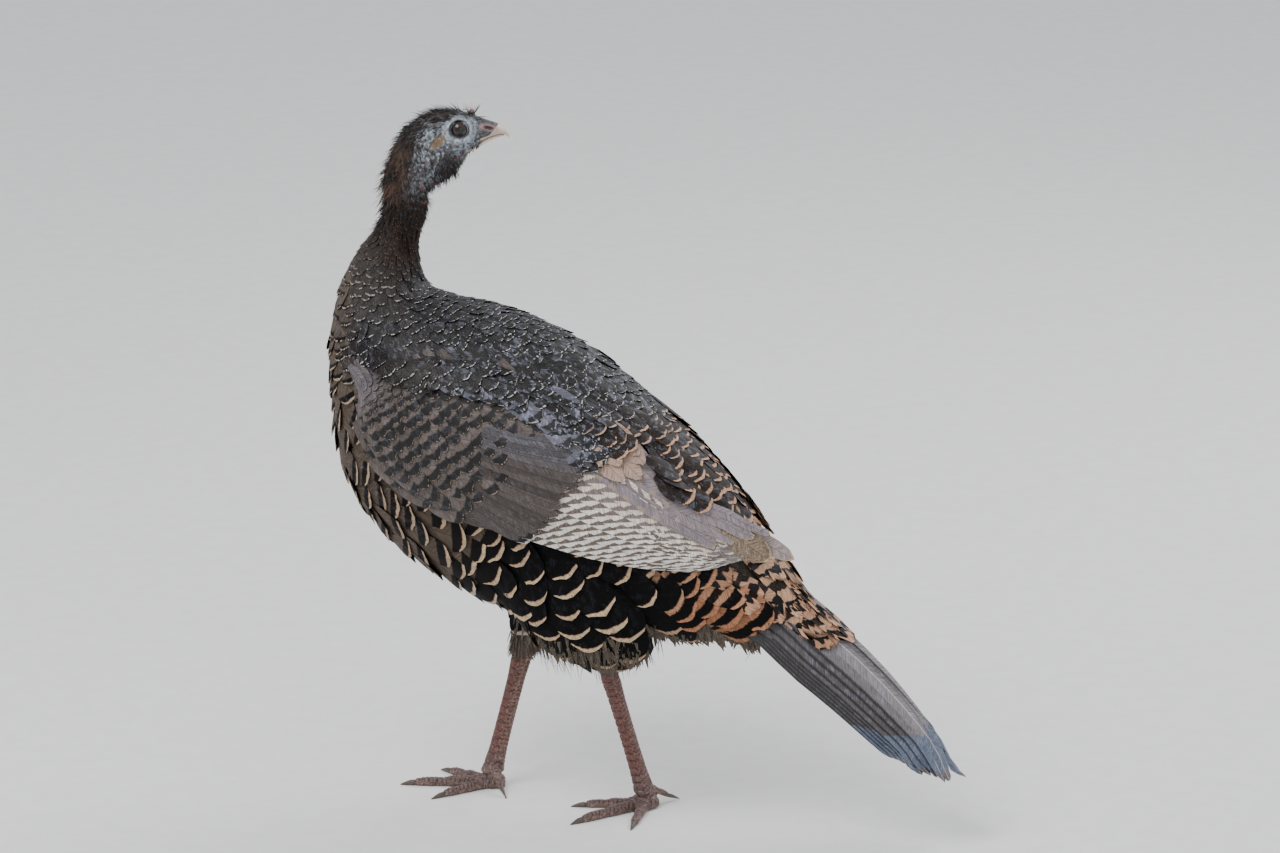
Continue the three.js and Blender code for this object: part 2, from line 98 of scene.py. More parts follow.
def along_surface(flow, normals):
    """Unit directions of a flow without its part along the normals."""
    return unit(flow - (flow * normals).sum(1, keepdims=True) * normals)


def in_frame(points, origin, axes):
    """Coordinates of points along three axes from an origin."""
    return (points - origin) @ np.array(axes).T


def mesh_points(mesh):
    """Vertices of a mesh in millimetres."""
    places = np.empty(len(mesh.vertices) * 3)
    mesh.vertices.foreach_get("co", places)
    return places.reshape(-1, 3) / MM


def mesh_triangles(mesh):
    mesh.calc_loop_triangles()
    corners = np.empty(len(mesh.loop_triangles) * 3, dtype=np.int64)
    mesh.loop_triangles.foreach_get("vertices", corners)
    return corners.reshape(-1, 3)


def mesh_corners(mesh):
    """Vertex number of every face corner."""
    corners = np.empty(len(mesh.loops), dtype=np.int64)
    mesh.loops.foreach_get("vertex_index", corners)
    return corners


def cad_arrays(names):
    """Vertices in millimetres and triangles of some CAD nodes, joined."""
    points, triangles, first = [], [], 0
    for name in names:
        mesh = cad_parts[name].data
        points.append(mesh_points(mesh))
        triangles.append(mesh_triangles(mesh) + first)
        first += len(mesh.vertices)
    return np.concatenate(points), np.concatenate(triangles)


def make_mesh(name, points, faces):
    """A mesh from points in millimetres and an array of equal-sided faces."""
    mesh = bpy.data.meshes.new(name)
    mesh.vertices.add(len(points))
    mesh.vertices.foreach_set("co", (points * MM).astype(np.float32).ravel())
    mesh.loops.add(faces.size)
    mesh.loops.foreach_set("vertex_index", faces.astype(np.int32).ravel())
    mesh.polygons.add(len(faces))
    starts = np.arange(0, faces.size, faces.shape[1], dtype=np.int32)
    mesh.polygons.foreach_set("loop_start", starts)
    mesh.update(calc_edges=True)
    mesh.validate()
    mesh.shade_smooth()
    return mesh


def link(name, mesh):
    """A new object in the scene; an old one of the same name goes."""
    old = bpy.data.objects.get(name)
    if old:
        bpy.data.objects.remove(old)
    made = bpy.data.objects.new(name, mesh)
    bpy.context.scene.collection.objects.link(made)
    return made


def finish_piece(piece, material, replaced=()):
    """Gives a piece its material and body, and hides the CAD nodes it stands for."""
    piece.data.materials.clear()
    piece.data.materials.append(material)
    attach(piece, "root")
    if replaced:
        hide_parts(*replaced)


def point_data(mesh, name, values, kind):
    """Writes one attribute per vertex; kind is FLOAT, FLOAT_VECTOR or FLOAT_COLOR."""
    layer = mesh.attributes.new(name, kind, "POINT")
    key = {"FLOAT": "value", "FLOAT_VECTOR": "vector", "FLOAT_COLOR": "color"}[kind]
    if kind == "FLOAT_COLOR":
        values = np.concatenate([values, np.ones((len(values), 1))], axis=1)
    layer.data.foreach_set(key, np.ascontiguousarray(values, dtype=np.float32).ravel())


def modified_arrays(source, faces_of):
    """Points and faces of an object once its modifiers have run; the object goes."""
    graph = bpy.context.evaluated_depsgraph_get()
    made = bpy.data.meshes.new_from_object(source.evaluated_get(graph))
    points, faces = mesh_points(made), faces_of(made)
    bpy.data.objects.remove(source)
    bpy.data.meshes.remove(made)
    return points, faces


def voxel_copy(names, voxel):
    """One closed quad mesh round some CAD nodes, as points in millimetres and faces."""
    points, triangles = cad_arrays(names)
    source = link("remesh_source", make_mesh("remesh_source", points, triangles))
    remesh = source.modifiers.new("remesh", "REMESH")
    remesh.mode = "VOXEL"
    remesh.voxel_size = voxel * MM
    return modified_arrays(source, lambda made: mesh_corners(made).reshape(-1, 4))


def face_edges(faces):
    """Both directions of every face side, as two arrays of vertex numbers."""
    start = faces.ravel()
    end = np.roll(faces, -1, axis=1).ravel()
    return np.concatenate([start, end]), np.concatenate([end, start])


def relax(points, faces, rounds, strength=0.5):
    """Laplacian smoothing; strength is one number or one for each vertex."""
    start, end = face_edges(faces)
    count = np.bincount(start, minlength=len(points))[:, None]
    strength = np.broadcast_to(np.asarray(strength, dtype=float), (len(points),))[:, None]
    for _ in range(rounds):
        total = np.stack([np.bincount(start, points[end, axis], len(points)) for axis in range(3)], 1)
        points = points + strength * (total / np.maximum(count, 1) - points)
    return points


def vertex_normals(points, faces):
    """Normals of a quad or triangle mesh, weighted by area."""
    first = points[faces[:, 2]] - points[faces[:, 0]]
    second = points[faces[:, -1]] - points[faces[:, 1]]
    face_normal = np.cross(first, second)
    total = np.zeros_like(points)
    for column in range(faces.shape[1]):
        for axis in range(3):
            total[:, axis] += np.bincount(faces[:, column], face_normal[:, axis], len(points))
    return unit(total)


# ------------------------------------------------------------------ guide surfaces
class Guide:
    """A smoothed closed surface that feathers are rooted in and laid along."""

    def __init__(self, names, voxel, rounds):
        points, faces = voxel_copy(names, voxel)
        self.adopt(relax(points, faces, rounds), faces)

    def adopt(self, points, faces):
        self.points, self.faces = points, faces
        self.normals = vertex_normals(points, faces)
        self.tree = BVHTree.FromPolygons(points.tolist(), faces.tolist())

    def nearest(self, places):
        """Nearest surface points and their smoothed normals."""
        found = [self.tree.find_nearest(place) for place in places.tolist()]
        spots = np.array([tuple(hit[0]) for hit in found])
        numbers = np.array([hit[2] for hit in found])
        corners = self.faces[numbers]
        gap = np.linalg.norm(self.points[corners] - spots[:, None], axis=2) + 0.3
        share = (1 / gap)[..., None]
        normals = unit((self.normals[corners] * share).sum(1))
        return spots, normals

    def sample(self, count, rng):
        """Random points spread evenly over the area."""
        corner = self.points[self.faces]
        first, last = corner[:, 0], corner[:, -1]
        area = np.linalg.norm(np.cross(corner[:, 1] - first, last - first), axis=1)
        if corner.shape[1] == 4:
            area = 0.5 * np.linalg.norm(np.cross(corner[:, 2] - first, last - corner[:, 1]), axis=1)
        chosen = corner[rng.choice(len(area), count, p=area / area.sum())]
        a, b = rng.random((2, count, 1))
        if corner.shape[1] == 3:
            outside = a + b > 1
            a, b = np.where(outside, 1 - a, a), np.where(outside, 1 - b, b)
            return chosen[:, 0] * (1 - a - b) + chosen[:, 1] * a + chosen[:, 2] * b
        low = chosen[:, 0] * (1 - a) + chosen[:, 1] * a
        high = chosen[:, 3] * (1 - a) + chosen[:, 2] * a
        return low * (1 - b) + high * b


def spread(places, radius, rng, lie=None, squeeze=None):
    """Thins candidates so that none lies within its neighbour's radius.

    With a lie, a distance across it counts only squeeze times, so vanes sit in wide rows.
    """
    order = rng.permutation(len(places))
    tree = KDTree(len(places))
    for number, place in enumerate(places.tolist()):
        tree.insert(place, number)
    tree.balance()
    alive = np.ones(len(places), dtype=bool)
    kept = []
    reach = radius if lie is None else radius / squeeze
    for number in order:
        if not alive[number]:
            continue
        kept.append(number)
        near = np.array([hit[1] for hit in tree.find_range(places[number].tolist(), reach[number])])
        if lie is not None:
            off = places[near] - places[number]
            along = off @ lie[number]
            across = np.sqrt(np.maximum((off ** 2).sum(1) - along ** 2, 0.0))
            near = near[np.hypot(along, across * squeeze[number]) < radius[number]]
        alive[near] = False
    return np.array(kept)


class Field:
    """Height of some CAD nodes over a flat grid, seen along one axis from outside."""

    STEP = 3.0

    def __init__(self, names, first, second, out, reach, span_first, span_second, blur):
        points, triangles = cad_arrays(names)
        tree = BVHTree.FromPolygons(points.tolist(), triangles.tolist())
        self.first, self.second, self.out = first, second, out
        self.low = np.array([span_first[0], span_second[0]])
        a = np.arange(span_first[0], span_first[1], self.STEP)
        b = np.arange(span_second[0], span_second[1], self.STEP)
        grid_a, grid_b = np.meshgrid(a, b, indexing="ij")
        starts = BODY_ORIGIN + grid_a[..., None] * first + grid_b[..., None] * second + reach * out
        hits = [tree.ray_cast(start, -out) for start in starts.reshape(-1, 3).tolist()]
        found = np.array([np.nan if hit[0] is None else reach - hit[3] for hit in hits])
        height = found.reshape(grid_a.shape)
        self.seen = ~np.isnan(height)
        self.height = self.fill(height, blur)

    def fill(self, height, blur):
        """Carries the height outwards past the rim, then softens it."""
        known = ~np.isnan(height)
        value = np.where(known, height, 0.0)
        while not known.all():
            total = np.zeros_like(value)
            count = np.zeros_like(value)
            for axis in (0, 1):
                for shift in (1, -1):
                    near = np.roll(known, shift, axis)
                    edge = [slice(None), slice(None)]
                    edge[axis] = 0 if shift == 1 else -1
                    near[tuple(edge)] = False
                    total += np.where(near, np.roll(value, shift, axis), 0)
                    count += near
            fresh = ~known & (count > 0)
            value[fresh] = total[fresh] / count[fresh]
            known |= fresh
        for _ in range(blur):
            padded = np.pad(value, 1, mode="edge")
            value = (padded[:-2, 1:-1] + padded[2:, 1:-1] + padded[1:-1, :-2] + padded[1:-1, 2:]) / 4
        return value

    def look(self, table, a, b):
        """Bilinear value of a grid table at places a, b."""
        u = np.clip((a - self.low[0]) / self.STEP, 0, table.shape[0] - 1.001)
        v = np.clip((b - self.low[1]) / self.STEP, 0, table.shape[1] - 1.001)
        i, j = u.astype(int), v.astype(int)
        u, v = u - i, v - j
        near = table[i, j] * (1 - u) + table[i + 1, j] * u
        far = table[i, j + 1] * (1 - u) + table[i + 1, j + 1] * u
        return near * (1 - v) + far * v

    def place(self, a, b, lift=0.0):
        """Points and normals of the surface at grid places, lifted off it."""
        height = self.look(self.height, a, b)
        step = 2 * self.STEP
        high, low = self.look(self.height, a + step, b), self.look(self.height, a - step, b)
        slope_a = (high - low) / (2 * step)
        high, low = self.look(self.height, a, b + step), self.look(self.height, a, b - step)
        slope_b = (high - low) / (2 * step)
        normal = unit(self.out - slope_a[..., None] * self.first - slope_b[..., None] * self.second)
        base = BODY_ORIGIN + a[..., None] * self.first + b[..., None] * self.second
        return base + height[..., None] * self.out + np.asarray(lift)[..., None] * normal, normal


# ------------------------------------------------------------------ solid vanes
ROWS_BODY = np.array([0.0, 0.25, 0.48, 0.68, 0.85, 1.0])
ROWS_LONG = np.array([0.0, 0.1, 0.2, 0.31, 0.42, 0.53, 0.63, 0.72, 0.8, 0.87, 0.93, 0.97, 1.0])
PATCH = 0.003                                  # size of one vane's patch on the map


def profile(rows, root, full_at, tip):
    """Half width along a vane as a share: from the root, full, then the blunt tip."""
    rise = root + (1 - root) * np.sin(np.clip(rows / full_at, 0, 1) * math.pi / 2)
    fall = np.clip((rows - full_at) / (1 - full_at), 0, 1)
    return rise * (1 - (1 - tip) * fall ** 2.2)


def vane_faces(rows, columns):
    """Triangles of one closed vane: a grid on top, a keel below and two ends."""
    faces = []
    keel = rows * columns
    for r in range(rows - 1):
        for c in range(columns - 1):
            a = r * columns + c
            faces += [(a, a + 1, a + columns + 1), (a, a + columns + 1, a + columns)]
        left, right = r * columns, (r + 1) * columns - 1
        faces += [(left, left + columns, keel + r + 1), (left, keel + r + 1, keel + r)]
        faces += [(right, keel + r, keel + r + 1), (right, keel + r + 1, right + columns)]
    last = (rows - 1) * columns
    for c in range(columns - 1):
        faces += [(keel, c + 1, c), (keel + rows - 1, last + c, last + c + 1)]
    return np.array(faces)


class Coat:
    """Collects solid vanes of one or more kinds, then writes them as one object."""

    def __init__(self, draws):
        self.rng = draws
        self.blocks = []

    def lay(self, path, normal, half, length, rows, look, root_map, columns=7, shape=(0.3, 0.5, 0.62),
            bow=0.55, camber=0.12, ragged=0.05, thick=0.5, roll=None, swing=0.0, mirror=1):
        """One vane along each path; half and length are per vane, in millimetres.

        swing moves a vane's side edges: +1 puts the whole width on the right of its shaft.
        """
        count, steps = path.shape[:2]
        along = unit(np.gradient(path, axis=1))
        side = unit(np.cross(along, normal))
        if roll is not None:
            turn = roll[:, None, None]
            cos, sin = np.cos(turn), np.sin(turn)
            side, normal = side * cos + normal * sin, normal * cos - side * sin
        u = np.linspace(-1, 1, columns)
        taper = profile(rows, *shape)
        wide = half[:, None] * taper
        offset = u + swing
        back = np.broadcast_to(-bow * half[:, None, None] * u ** 2 * rows[:, None] ** 3,
                               (count, steps, columns))
        fray = self.rng.random((count, columns)) ** 2 * ragged * length[:, None]
        back = back - fray[:, None, :] * (rows[:, None] ** 6)
        sag = camber * wide[..., None] * np.abs(u) ** 1.7
        top = (path[:, :, None] + side[:, :, None] * (wide[..., None] * offset)[..., None]
               + along[:, :, None] * back[..., None] - normal[:, :, None] * sag[..., None])
        keel = path - normal * (thick * (1.15 - rows))[..., None]
        points = np.concatenate([top.reshape(count, -1, 3), keel], axis=1)
        shaft = np.zeros(steps)
        across = np.concatenate([np.tile(u, steps), shaft])
        share = np.concatenate([np.repeat(rows, columns), rows * 0.9 + 0.05])
        place = np.stack([mirror * across * half[:, None], (1 - share) * length[:, None],
                          np.broadcast_to(self.rng.random((count, 1)), (count, len(share)))], axis=2)
        patch = np.stack([across * 0.46, share - 0.5], axis=1) * PATCH
        outline = np.zeros(len(share), dtype=bool)
        grid = np.arange(steps * columns).reshape(steps, columns)
        for rim in (grid[:, 0], grid[:, -1], grid[0], grid[-1]):
            outline[rim] = True
        self.blocks.append({"points": points, "faces": vane_faces(steps, columns), "place": place,
                            "patch": patch, "outline": outline, "look": look, "root": root_map})

    def build(self, name):
        """The object, with its markings as attributes and its map of patches."""
        points, faces, place, rim, uv, first = [], [], [], [], [], 0
        looks = {key: [] for key in ("ground", "edge", "bands", "habit")}
        roots = np.concatenate([block["root"] for block in self.blocks])
        low, high = roots.min(0), roots.max(0)
        for block in self.blocks:
            count, size = block["points"].shape[:2]
            shift = first + np.arange(count)[:, None, None] * size
            points.append(block["points"].reshape(-1, 3))
            faces.append((block["faces"][None] + shift).reshape(-1, 3))
            place.append(block["place"].reshape(-1, 3))
            rim.append(np.tile(block["outline"], count))
            root = 0.01 + 0.98 * (block["root"] - low) / np.maximum(high - low, 1e-6)
            uv.append((root[:, None] + block["patch"][None]).reshape(-1, 2))
            for key in looks:
                looks[key].append(np.repeat(block["look"][key], size, axis=0))
            first += count * size
        faces = np.concatenate(faces)
        mesh = make_mesh(name, np.concatenate(points), faces)
        point_data(mesh, "place", np.concatenate(place), "FLOAT_VECTOR")
        for key in ("bands", "habit"):
            point_data(mesh, key, np.concatenate(looks[key]), "FLOAT_VECTOR")
        for key in ("ground", "edge"):
            point_data(mesh, key, np.concatenate(looks[key]), "FLOAT_COLOR")
        layer = mesh.uv_layers.new(name="OFBake")
        layer.data.foreach_set("uv", np.concatenate(uv)[mesh_corners(mesh)].astype(np.float32).ravel())
        ends = np.empty(len(mesh.edges) * 2, dtype=np.int64)
        mesh.edges.foreach_get("vertices", ends)
        sharp = np.concatenate(rim)[ends.reshape(-1, 2)].all(axis=1)
        crease = mesh.attributes.new("sharp_edge", "BOOLEAN", "EDGE")
        crease.data.foreach_set("value", sharp)
        return link(name, mesh)


# ------------------------------------------------------------------ node materials
class Finish:
    """A node material under construction."""

    def __init__(self, name):
        self.material = bpy.data.materials.get(name) or bpy.data.materials.new(name)
        self.material.use_nodes = True
        self.tree = self.material.node_tree
        self.tree.nodes.clear()
        self.shader = self.tree.nodes.new("ShaderNodeBsdfPrincipled")
        self.output = self.tree.nodes.new("ShaderNodeOutputMaterial")
        self.tree.links.new(self.shader.outputs[0], self.output.inputs["Surface"])

    def put(self, socket, value):
        if isinstance(value, bpy.types.NodeSocket):
            self.tree.links.new(value, socket)
        elif socket.type == "RGBA":
            socket.default_value = (*value[:3], 1.0)
        else:
            socket.default_value = value

    def node(self, kind, inputs, output=0, **settings):
        made = self.tree.nodes.new(kind)
        for key, value in settings.items():
            setattr(made, key, value)
        for key, value in inputs.items():
            self.put(made.inputs[key], value)
        return made.outputs[output]

    def math(self, operation, *values, clamp=False):
        return self.node("ShaderNodeMath", dict(enumerate(values)), operation=operation, use_clamp=clamp)

    def mul(self, a, b):
        return self.math("MULTIPLY", a, b)

    def add(self, a, b):
        return self.math("ADD", a, b)

    def less(self, a, b):
        return self.math("SUBTRACT", a, b)

    def rest(self, share):
        """What a share leaves of 1."""
        return self.math("SUBTRACT", 1.0, share)

    def step(self, value, low, high, start=0.0, end=1.0):
        """A soft step of value from low to high."""
        return self.node("ShaderNodeMapRange", {0: value, 1: low, 2: high, 3: start, 4: end},
                         interpolation_type="SMOOTHSTEP")

    def mix(self, share, a, b, blend="MIX"):
        made = self.tree.nodes.new("ShaderNodeMix")
        made.data_type = "RGBA"
        made.blend_type = blend
        self.put(made.inputs[0], share)
        self.put(made.inputs[6], a)
        self.put(made.inputs[7], b)
        return made.outputs[2]

    def attribute(self, name, output="Vector"):
        made = self.tree.nodes.new("ShaderNodeAttribute")
        made.attribute_name = name
        return made.outputs[output]

    def parts(self, vector):
        made = self.tree.nodes.new("ShaderNodeSeparateXYZ")
        self.put(made.inputs[0], vector)
        return made.outputs[0], made.outputs[1], made.outputs[2]

    def vector(self, x, y, z):
        return self.node("ShaderNodeCombineXYZ", {0: x, 1: y, 2: z})

    def noise(self, vector, scale, detail=2.0, rough=0.5):
        return self.node("ShaderNodeTexNoise", {"Vector": vector, "Scale": scale, "Detail": detail,
                                                "Roughness": rough})

    def position(self):
        """Object coordinates in metres."""
        return self.node("ShaderNodeTexCoord", {}, output=3)

    def close(self, colour, rough, height=None, distance=0.3, strength=0.6, **constants):
        """Wires colour, roughness and bump; the rest are plain numbers on the shader."""
        self.put(self.shader.inputs["Base Color"], colour)
        self.put(self.shader.inputs["Roughness"], rough)
        for key, value in constants.items():
            self.shader.inputs[key.replace("_", " ")].default_value = value
        if height is not None:
            bump = self.node("ShaderNodeBump", {"Strength": strength, "Distance": distance * MM,
                                                "Height": height})
            self.put(self.shader.inputs["Normal"], bump)
        return self.material


TAIL_BAND_AND_SHEEN = (0.115, 0.14, 0.195)                  # slate-blue bar before the tips of the tail: the dark bar lightened with painted bluish sheen


def plume_material(name, colours, rough=0.5, specular=0.3, tail=False):
    """Markings of a feather: ground, dark bar before the pale tip, bars, mottling, shaft and painted
    sheen.

    place holds (across, from the tip, a random number) in millimetres; bands holds the
    widths of tip, dark bar and repeat; habit holds strengths of bars, mottling, and gloss with painted
    sheen.
    Tail feathers have a slate bar with painted bluish sheen, a pale shaft, a dark outer edge
    (partly painted shade) and a pale point only.
    """
    f = Finish(name)
    across, distance, seed = f.parts(f.attribute("place"))
    tip, dark, repeat = f.parts(f.attribute("bands"))
    bars, mottle, gloss_and_painted_sheen = f.parts(f.attribute("habit"))
    ground = f.attribute("ground", "Color")
    edge = f.attribute("edge", "Color")
    wide = f.math("ABSOLUTE", across)
    barb = f.add(distance, wide)
    shift = f.mul(seed, 97.0)
    streak = f.noise(f.vector(f.mul(barb, 1.1), f.mul(across, 0.10), shift), 1.0, 2.0)
    soft = f.noise(f.vector(f.mul(distance, 0.25), f.mul(across, 0.25), shift), 1.0, 2.0)
    wobble = f.add(f.mul(f.less(streak, 0.5), 2.4), f.mul(f.less(soft, 0.5), 1.8))
    level = f.add(distance, f.mul(wobble, f.step(tip, 0.4, 3.0, 0.45, 1.0)))
    past_tip = f.less(level, tip)
    in_tip = f.rest(f.step(past_tip, -0.4, 0.4))
    # narrow tips are worn into short dashes
    worn = f.noise(f.vector(f.mul(across, 0.35), 0.0, shift), 1.0, 1.0)
    in_tip = f.mul(in_tip, f.math("MAXIMUM", f.step(worn, 0.46, 0.56), f.step(tip, 1.3, 2.2)))
    if tail:
        in_tip = f.mul(in_tip, f.step(wide, 4.0, 9.0, 1.0, 0.0))
    behind = f.less(past_tip, dark)
    in_dark = f.rest(f.step(behind, -0.8, 1.6))
    slant = f.mul(wide, f.step(bars, 0.9, 1.0, 0.12, 1.1))
    phase = f.add(f.math("DIVIDE", f.less(behind, slant), f.math("MAXIMUM", repeat, 1.0)),
                  f.mul(seed, f.step(dark, 0.1, 1.0, 1.0, 0.0)))
    wave = f.math("SINE", f.mul(phase, 2 * math.pi))
    notch = f.math("MAXIMUM", f.step(bars, 0.7, 0.8), f.step(wide, 6.5, 9.5))
    wedge = f.mul(f.less(wide, 8.0), f.step(bars, 0.9, 1.0, 0.0, 0.16))
    in_bar = f.mul(f.step(f.add(wave, wedge), -0.1, 0.3), f.mul(bars, notch))
    fleck = f.noise(f.vector(f.mul(across, 0.9), f.mul(barb, 2.2), shift), 1.0, 3.0, 0.65)
    in_fleck = f.mul(f.step(fleck, 0.5, 0.6), mottle)
    colour = f.mix(in_fleck, ground, edge)
    colour = f.mix(in_bar, colour, edge)
    dusk = f.mix(0.95, ground, TAIL_BAND_AND_SHEEN if tail else colours.black)
    has_dark = f.step(dark, 0.2, 1.0)
    colour = f.mix(f.mul(in_dark, has_dark), colour, dusk)
    line = f.mul(f.step(past_tip, -1.3, -0.5), f.step(tip, 2.5, 4.0))
    pale = f.mix(f.mul(line, 0.6), edge, colours.rust)
    colour = f.mix(in_tip, colour, pale)
    # painted sheen: lighter streaky patches of the sheen colour stand in for highlights on glossy
    # feathers, kept off the pale tips
    patch = f.noise(f.vector(f.mul(distance, 0.11), f.mul(across, 0.16), shift), 1.0, 2.0)
    sheen = f.mul(f.step(patch, 0.5, 0.62), f.step(streak, 0.35, 0.65, 0.15, 1.0))
    shine = f.mul(f.mul(gloss_and_painted_sheen, sheen), f.rest(in_tip))
    colour = f.mix(f.mul(shine, 0.85), colour, colours.gloss_and_painted_sheen)
    if tail:
        shaft = f.rest(f.step(wide, 0.5, 1.0))
        # painted shade: a dark line along one outer edge of each vane, partly the feathers' dark rims and
        # partly the shade between stacked feathers
        colour = f.mix(f.mul(f.step(across, 12.0, 14.0), 0.8), colour, colours.black)
        colour = f.mix(f.mul(shaft, 0.7), colour, colours.ash)
    else:
        shaft = f.rest(f.step(wide, 0.25, 0.6))
        colour = f.mix(f.mul(shaft, 0.4), colour, colours.black)
    value = f.step(streak, 0.25, 0.75, 0.58, 1.42)
    shade = f.node("ShaderNodeHueSaturation", {"Value": value, "Color": colour})
    height = f.add(f.mul(streak, 0.8), f.mul(shaft, 0.6))
    roughness = f.less(f.add(rough, f.mul(streak, 0.15)), f.mul(gloss_and_painted_sheen, 0.16))
    return f.close(shade, roughness, height, distance=0.45, strength=0.5, Specular_IOR_Level=specular)


# ------------------------------------------------------------------ sizes and colours
def colour_property(name, description, default):
    return FloatVectorProperty(name=name, description=description, default=default, size=3,
                               subtype="COLOR", min=0.0, max=1.0)


class HenSizes(bpy.types.PropertyGroup):
    """Sizes that set how the coat and the bare parts are built."""
    body_coat: FloatProperty(name="Body coat", description="Depth of the plumage over the trunk",
                             default=0.008, unit="LENGTH")
    neck_coat: FloatProperty(name="Neck coat", description="Depth of the plumage on the lower neck",
                             default=0.003, unit="LENGTH")
    eye_radius: FloatProperty(name="Eye radius", description="Radius of the eyeball",
                              default=0.0084, unit="LENGTH")
    feather_lift: FloatProperty(name="Feather lift", description="Height of a tip over its root",
                                default=0.007, unit="LENGTH")
    seed: IntProperty(name="Seed", description="Start of every random draw", default=7)


class HenColours(bpy.types.PropertyGroup):
    """Colours of the plumage, skin, bill and legs."""
    black: colour_property("Black", "Darkest part of the body feathers", (0.0036, 0.0033, 0.0037))
    slate: colour_property("Slate", "Soft neck feathers", (0.015, 0.012, 0.011))
    umber: colour_property("Umber", "Grey-brown ground of the breast", (0.072, 0.054, 0.042))
    ash: colour_property("Ash", "Pale edges of neck and back", (0.50, 0.47, 0.45))
    buff: colour_property("Buff", "Tips of the breast feathers", (0.36, 0.27, 0.19))
    cream: colour_property("Cream", "Tip bands of flank and thigh", (0.45, 0.335, 0.215))
    cinnamon: colour_property("Cinnamon", "Tips of the rump feathers", (0.55, 0.33, 0.21))
    copper: colour_property("Copper", "Bars under the tail", (0.33, 0.15, 0.08))
    rust: colour_property("Rust", "Line inside a pale tip", (0.20, 0.06, 0.025))
    drab: colour_property("Drab", "Grey-brown of the wing coverts", (0.086, 0.068, 0.061))
    # grey-violet: the feathers' own dark colour, lightened and blued as painted sky sheen
    violet: colour_property("Violet", "Glossy grey-violet of scapulars and coverts", (0.098, 0.098, 0.126))
    white: colour_property("White", "Bars of the secondaries", (0.72, 0.68, 0.62))
    bark: colour_property("Bark", "Brown bars of the secondaries", (0.100, 0.070, 0.053))
    pewter: colour_property("Pewter", "Ground of the tail feathers", (0.225, 0.210, 0.222))
    smoke: colour_property("Smoke", "Soft tips at the base of the neck", (0.30, 0.27, 0.24))
    mauve: colour_property("Mauve", "Grey-mauve of the tertials", (0.24, 0.20, 0.215))
    # painted sheen: colour of the highlights painted on dark feathers
    gloss_and_painted_sheen: colour_property("Gloss", "Sheen of dark feathers", (0.27, 0.28, 0.36))
    tan: colour_property("Tan", "Worn tips of the longest tertials", (0.15, 0.108, 0.080))
    down: colour_property("Down", "Soft feathers of leg and vent", (0.12, 0.095, 0.070))
    skin_grey: colour_property("Grey skin", "Bare skin of head and neck", (0.120, 0.118, 0.126))
    skin_blue: colour_property("Blue skin", "Bluish patches of cheek and neck", (0.27, 0.325, 0.375))
    skin_brown: colour_property("Brown skin", "Skin of crown and nape", (0.062, 0.044, 0.036))
    # dark skin: throat, lores and dark mottles, and the painted shade in the wrinkle creases
    skin_dark_and_crease_shade: colour_property("Dark skin", "Creases, throat and lores", (0.022, 0.019, 0.020))
    # pale skin: random pale mottles of the face, and the painted highlight on the fold round the eye
    skin_pale_and_highlight: colour_property("Pale skin", "Folds round the eye", (0.50, 0.56, 0.62))
    bead_red: colour_property("Red beads", "Beads on the throat", (0.50, 0.085, 0.11))
    snood_pink: colour_property("Snood pink", "Snood and rim of the nostril", (0.42, 0.23, 0.21))
    ear_tan: colour_property("Ear tan", "Bristles over the ear", (0.30, 0.215, 0.14))
    # painted shade: near-black for the cleft of the mouth and the insides of nostril and ear
    cleft_shade: colour_property("Gape", "Line of the mouth and inside of the nostril", (0.030, 0.018, 0.016))
    bill_ivory: colour_property("Bill ivory", "Horn of the bill", (0.66, 0.54, 0.44))
    bristle: colour_property("Bristle", "Brown bristles of nape and crown", (0.125, 0.066, 0.040))
    leg_red: colour_property("Leg red", "Plates of the shank", (0.165, 0.056, 0.042))
    leg_edge: colour_property("Leg edge", "Worn edges of the plates", (0.36, 0.24, 0.19))
    # painted shade: dark in the grooves between the leg plates, also a faint random darkening
    leg_groove_shade_and_mottle: colour_property("Leg groove", "Grooves between the plates", (0.050, 0.027, 0.023))
    toe_mauve: colour_property("Toe mauve", "Greyish toes", (0.17, 0.115, 0.105))
    floor: colour_property("Floor", "Plain floor of the stage", (0.90, 0.895, 0.88))


def sizes():
    return bpy.context.scene.hen_sizes


def colours():
    return bpy.context.scene.hen_colours


def paint(name):
    return np.array(getattr(colours(), name))


# Each piece draws from generators of its own, whose seeds lie this far over the first one.
BODY_VANES, BODY_DRAWS = 0, 0
WING_VANES, WING_DRAWS = 20, 30
TAIL_VANES, TAIL_DRAWS = 60, 61
BRISTLE_DRAWS, BRISTLE_VANES = 80, 81
DOWN_DRAWS, DOWN_VANES = 90, 91


def draws(offset):
    """A random generator that starts the same way in each run."""
    return np.random.default_rng(sizes().seed + offset)


# ------------------------------------------------------------------ the line of neck and trunk
# [y, z] of the middle of the body from the top of the neck to the tail, on the trunk drawing.
SPINE = [(-160, 600), (-160, 582), (-168, 555), (-180, 530), (-186, 505), (-180, 472), (-162, 436),
         (-128, 402), (-85, 362), (-40, 330), (5, 302), (50, 276), (95, 254), (135, 236), (180, 214),
         (230, 184), (290, 140)]


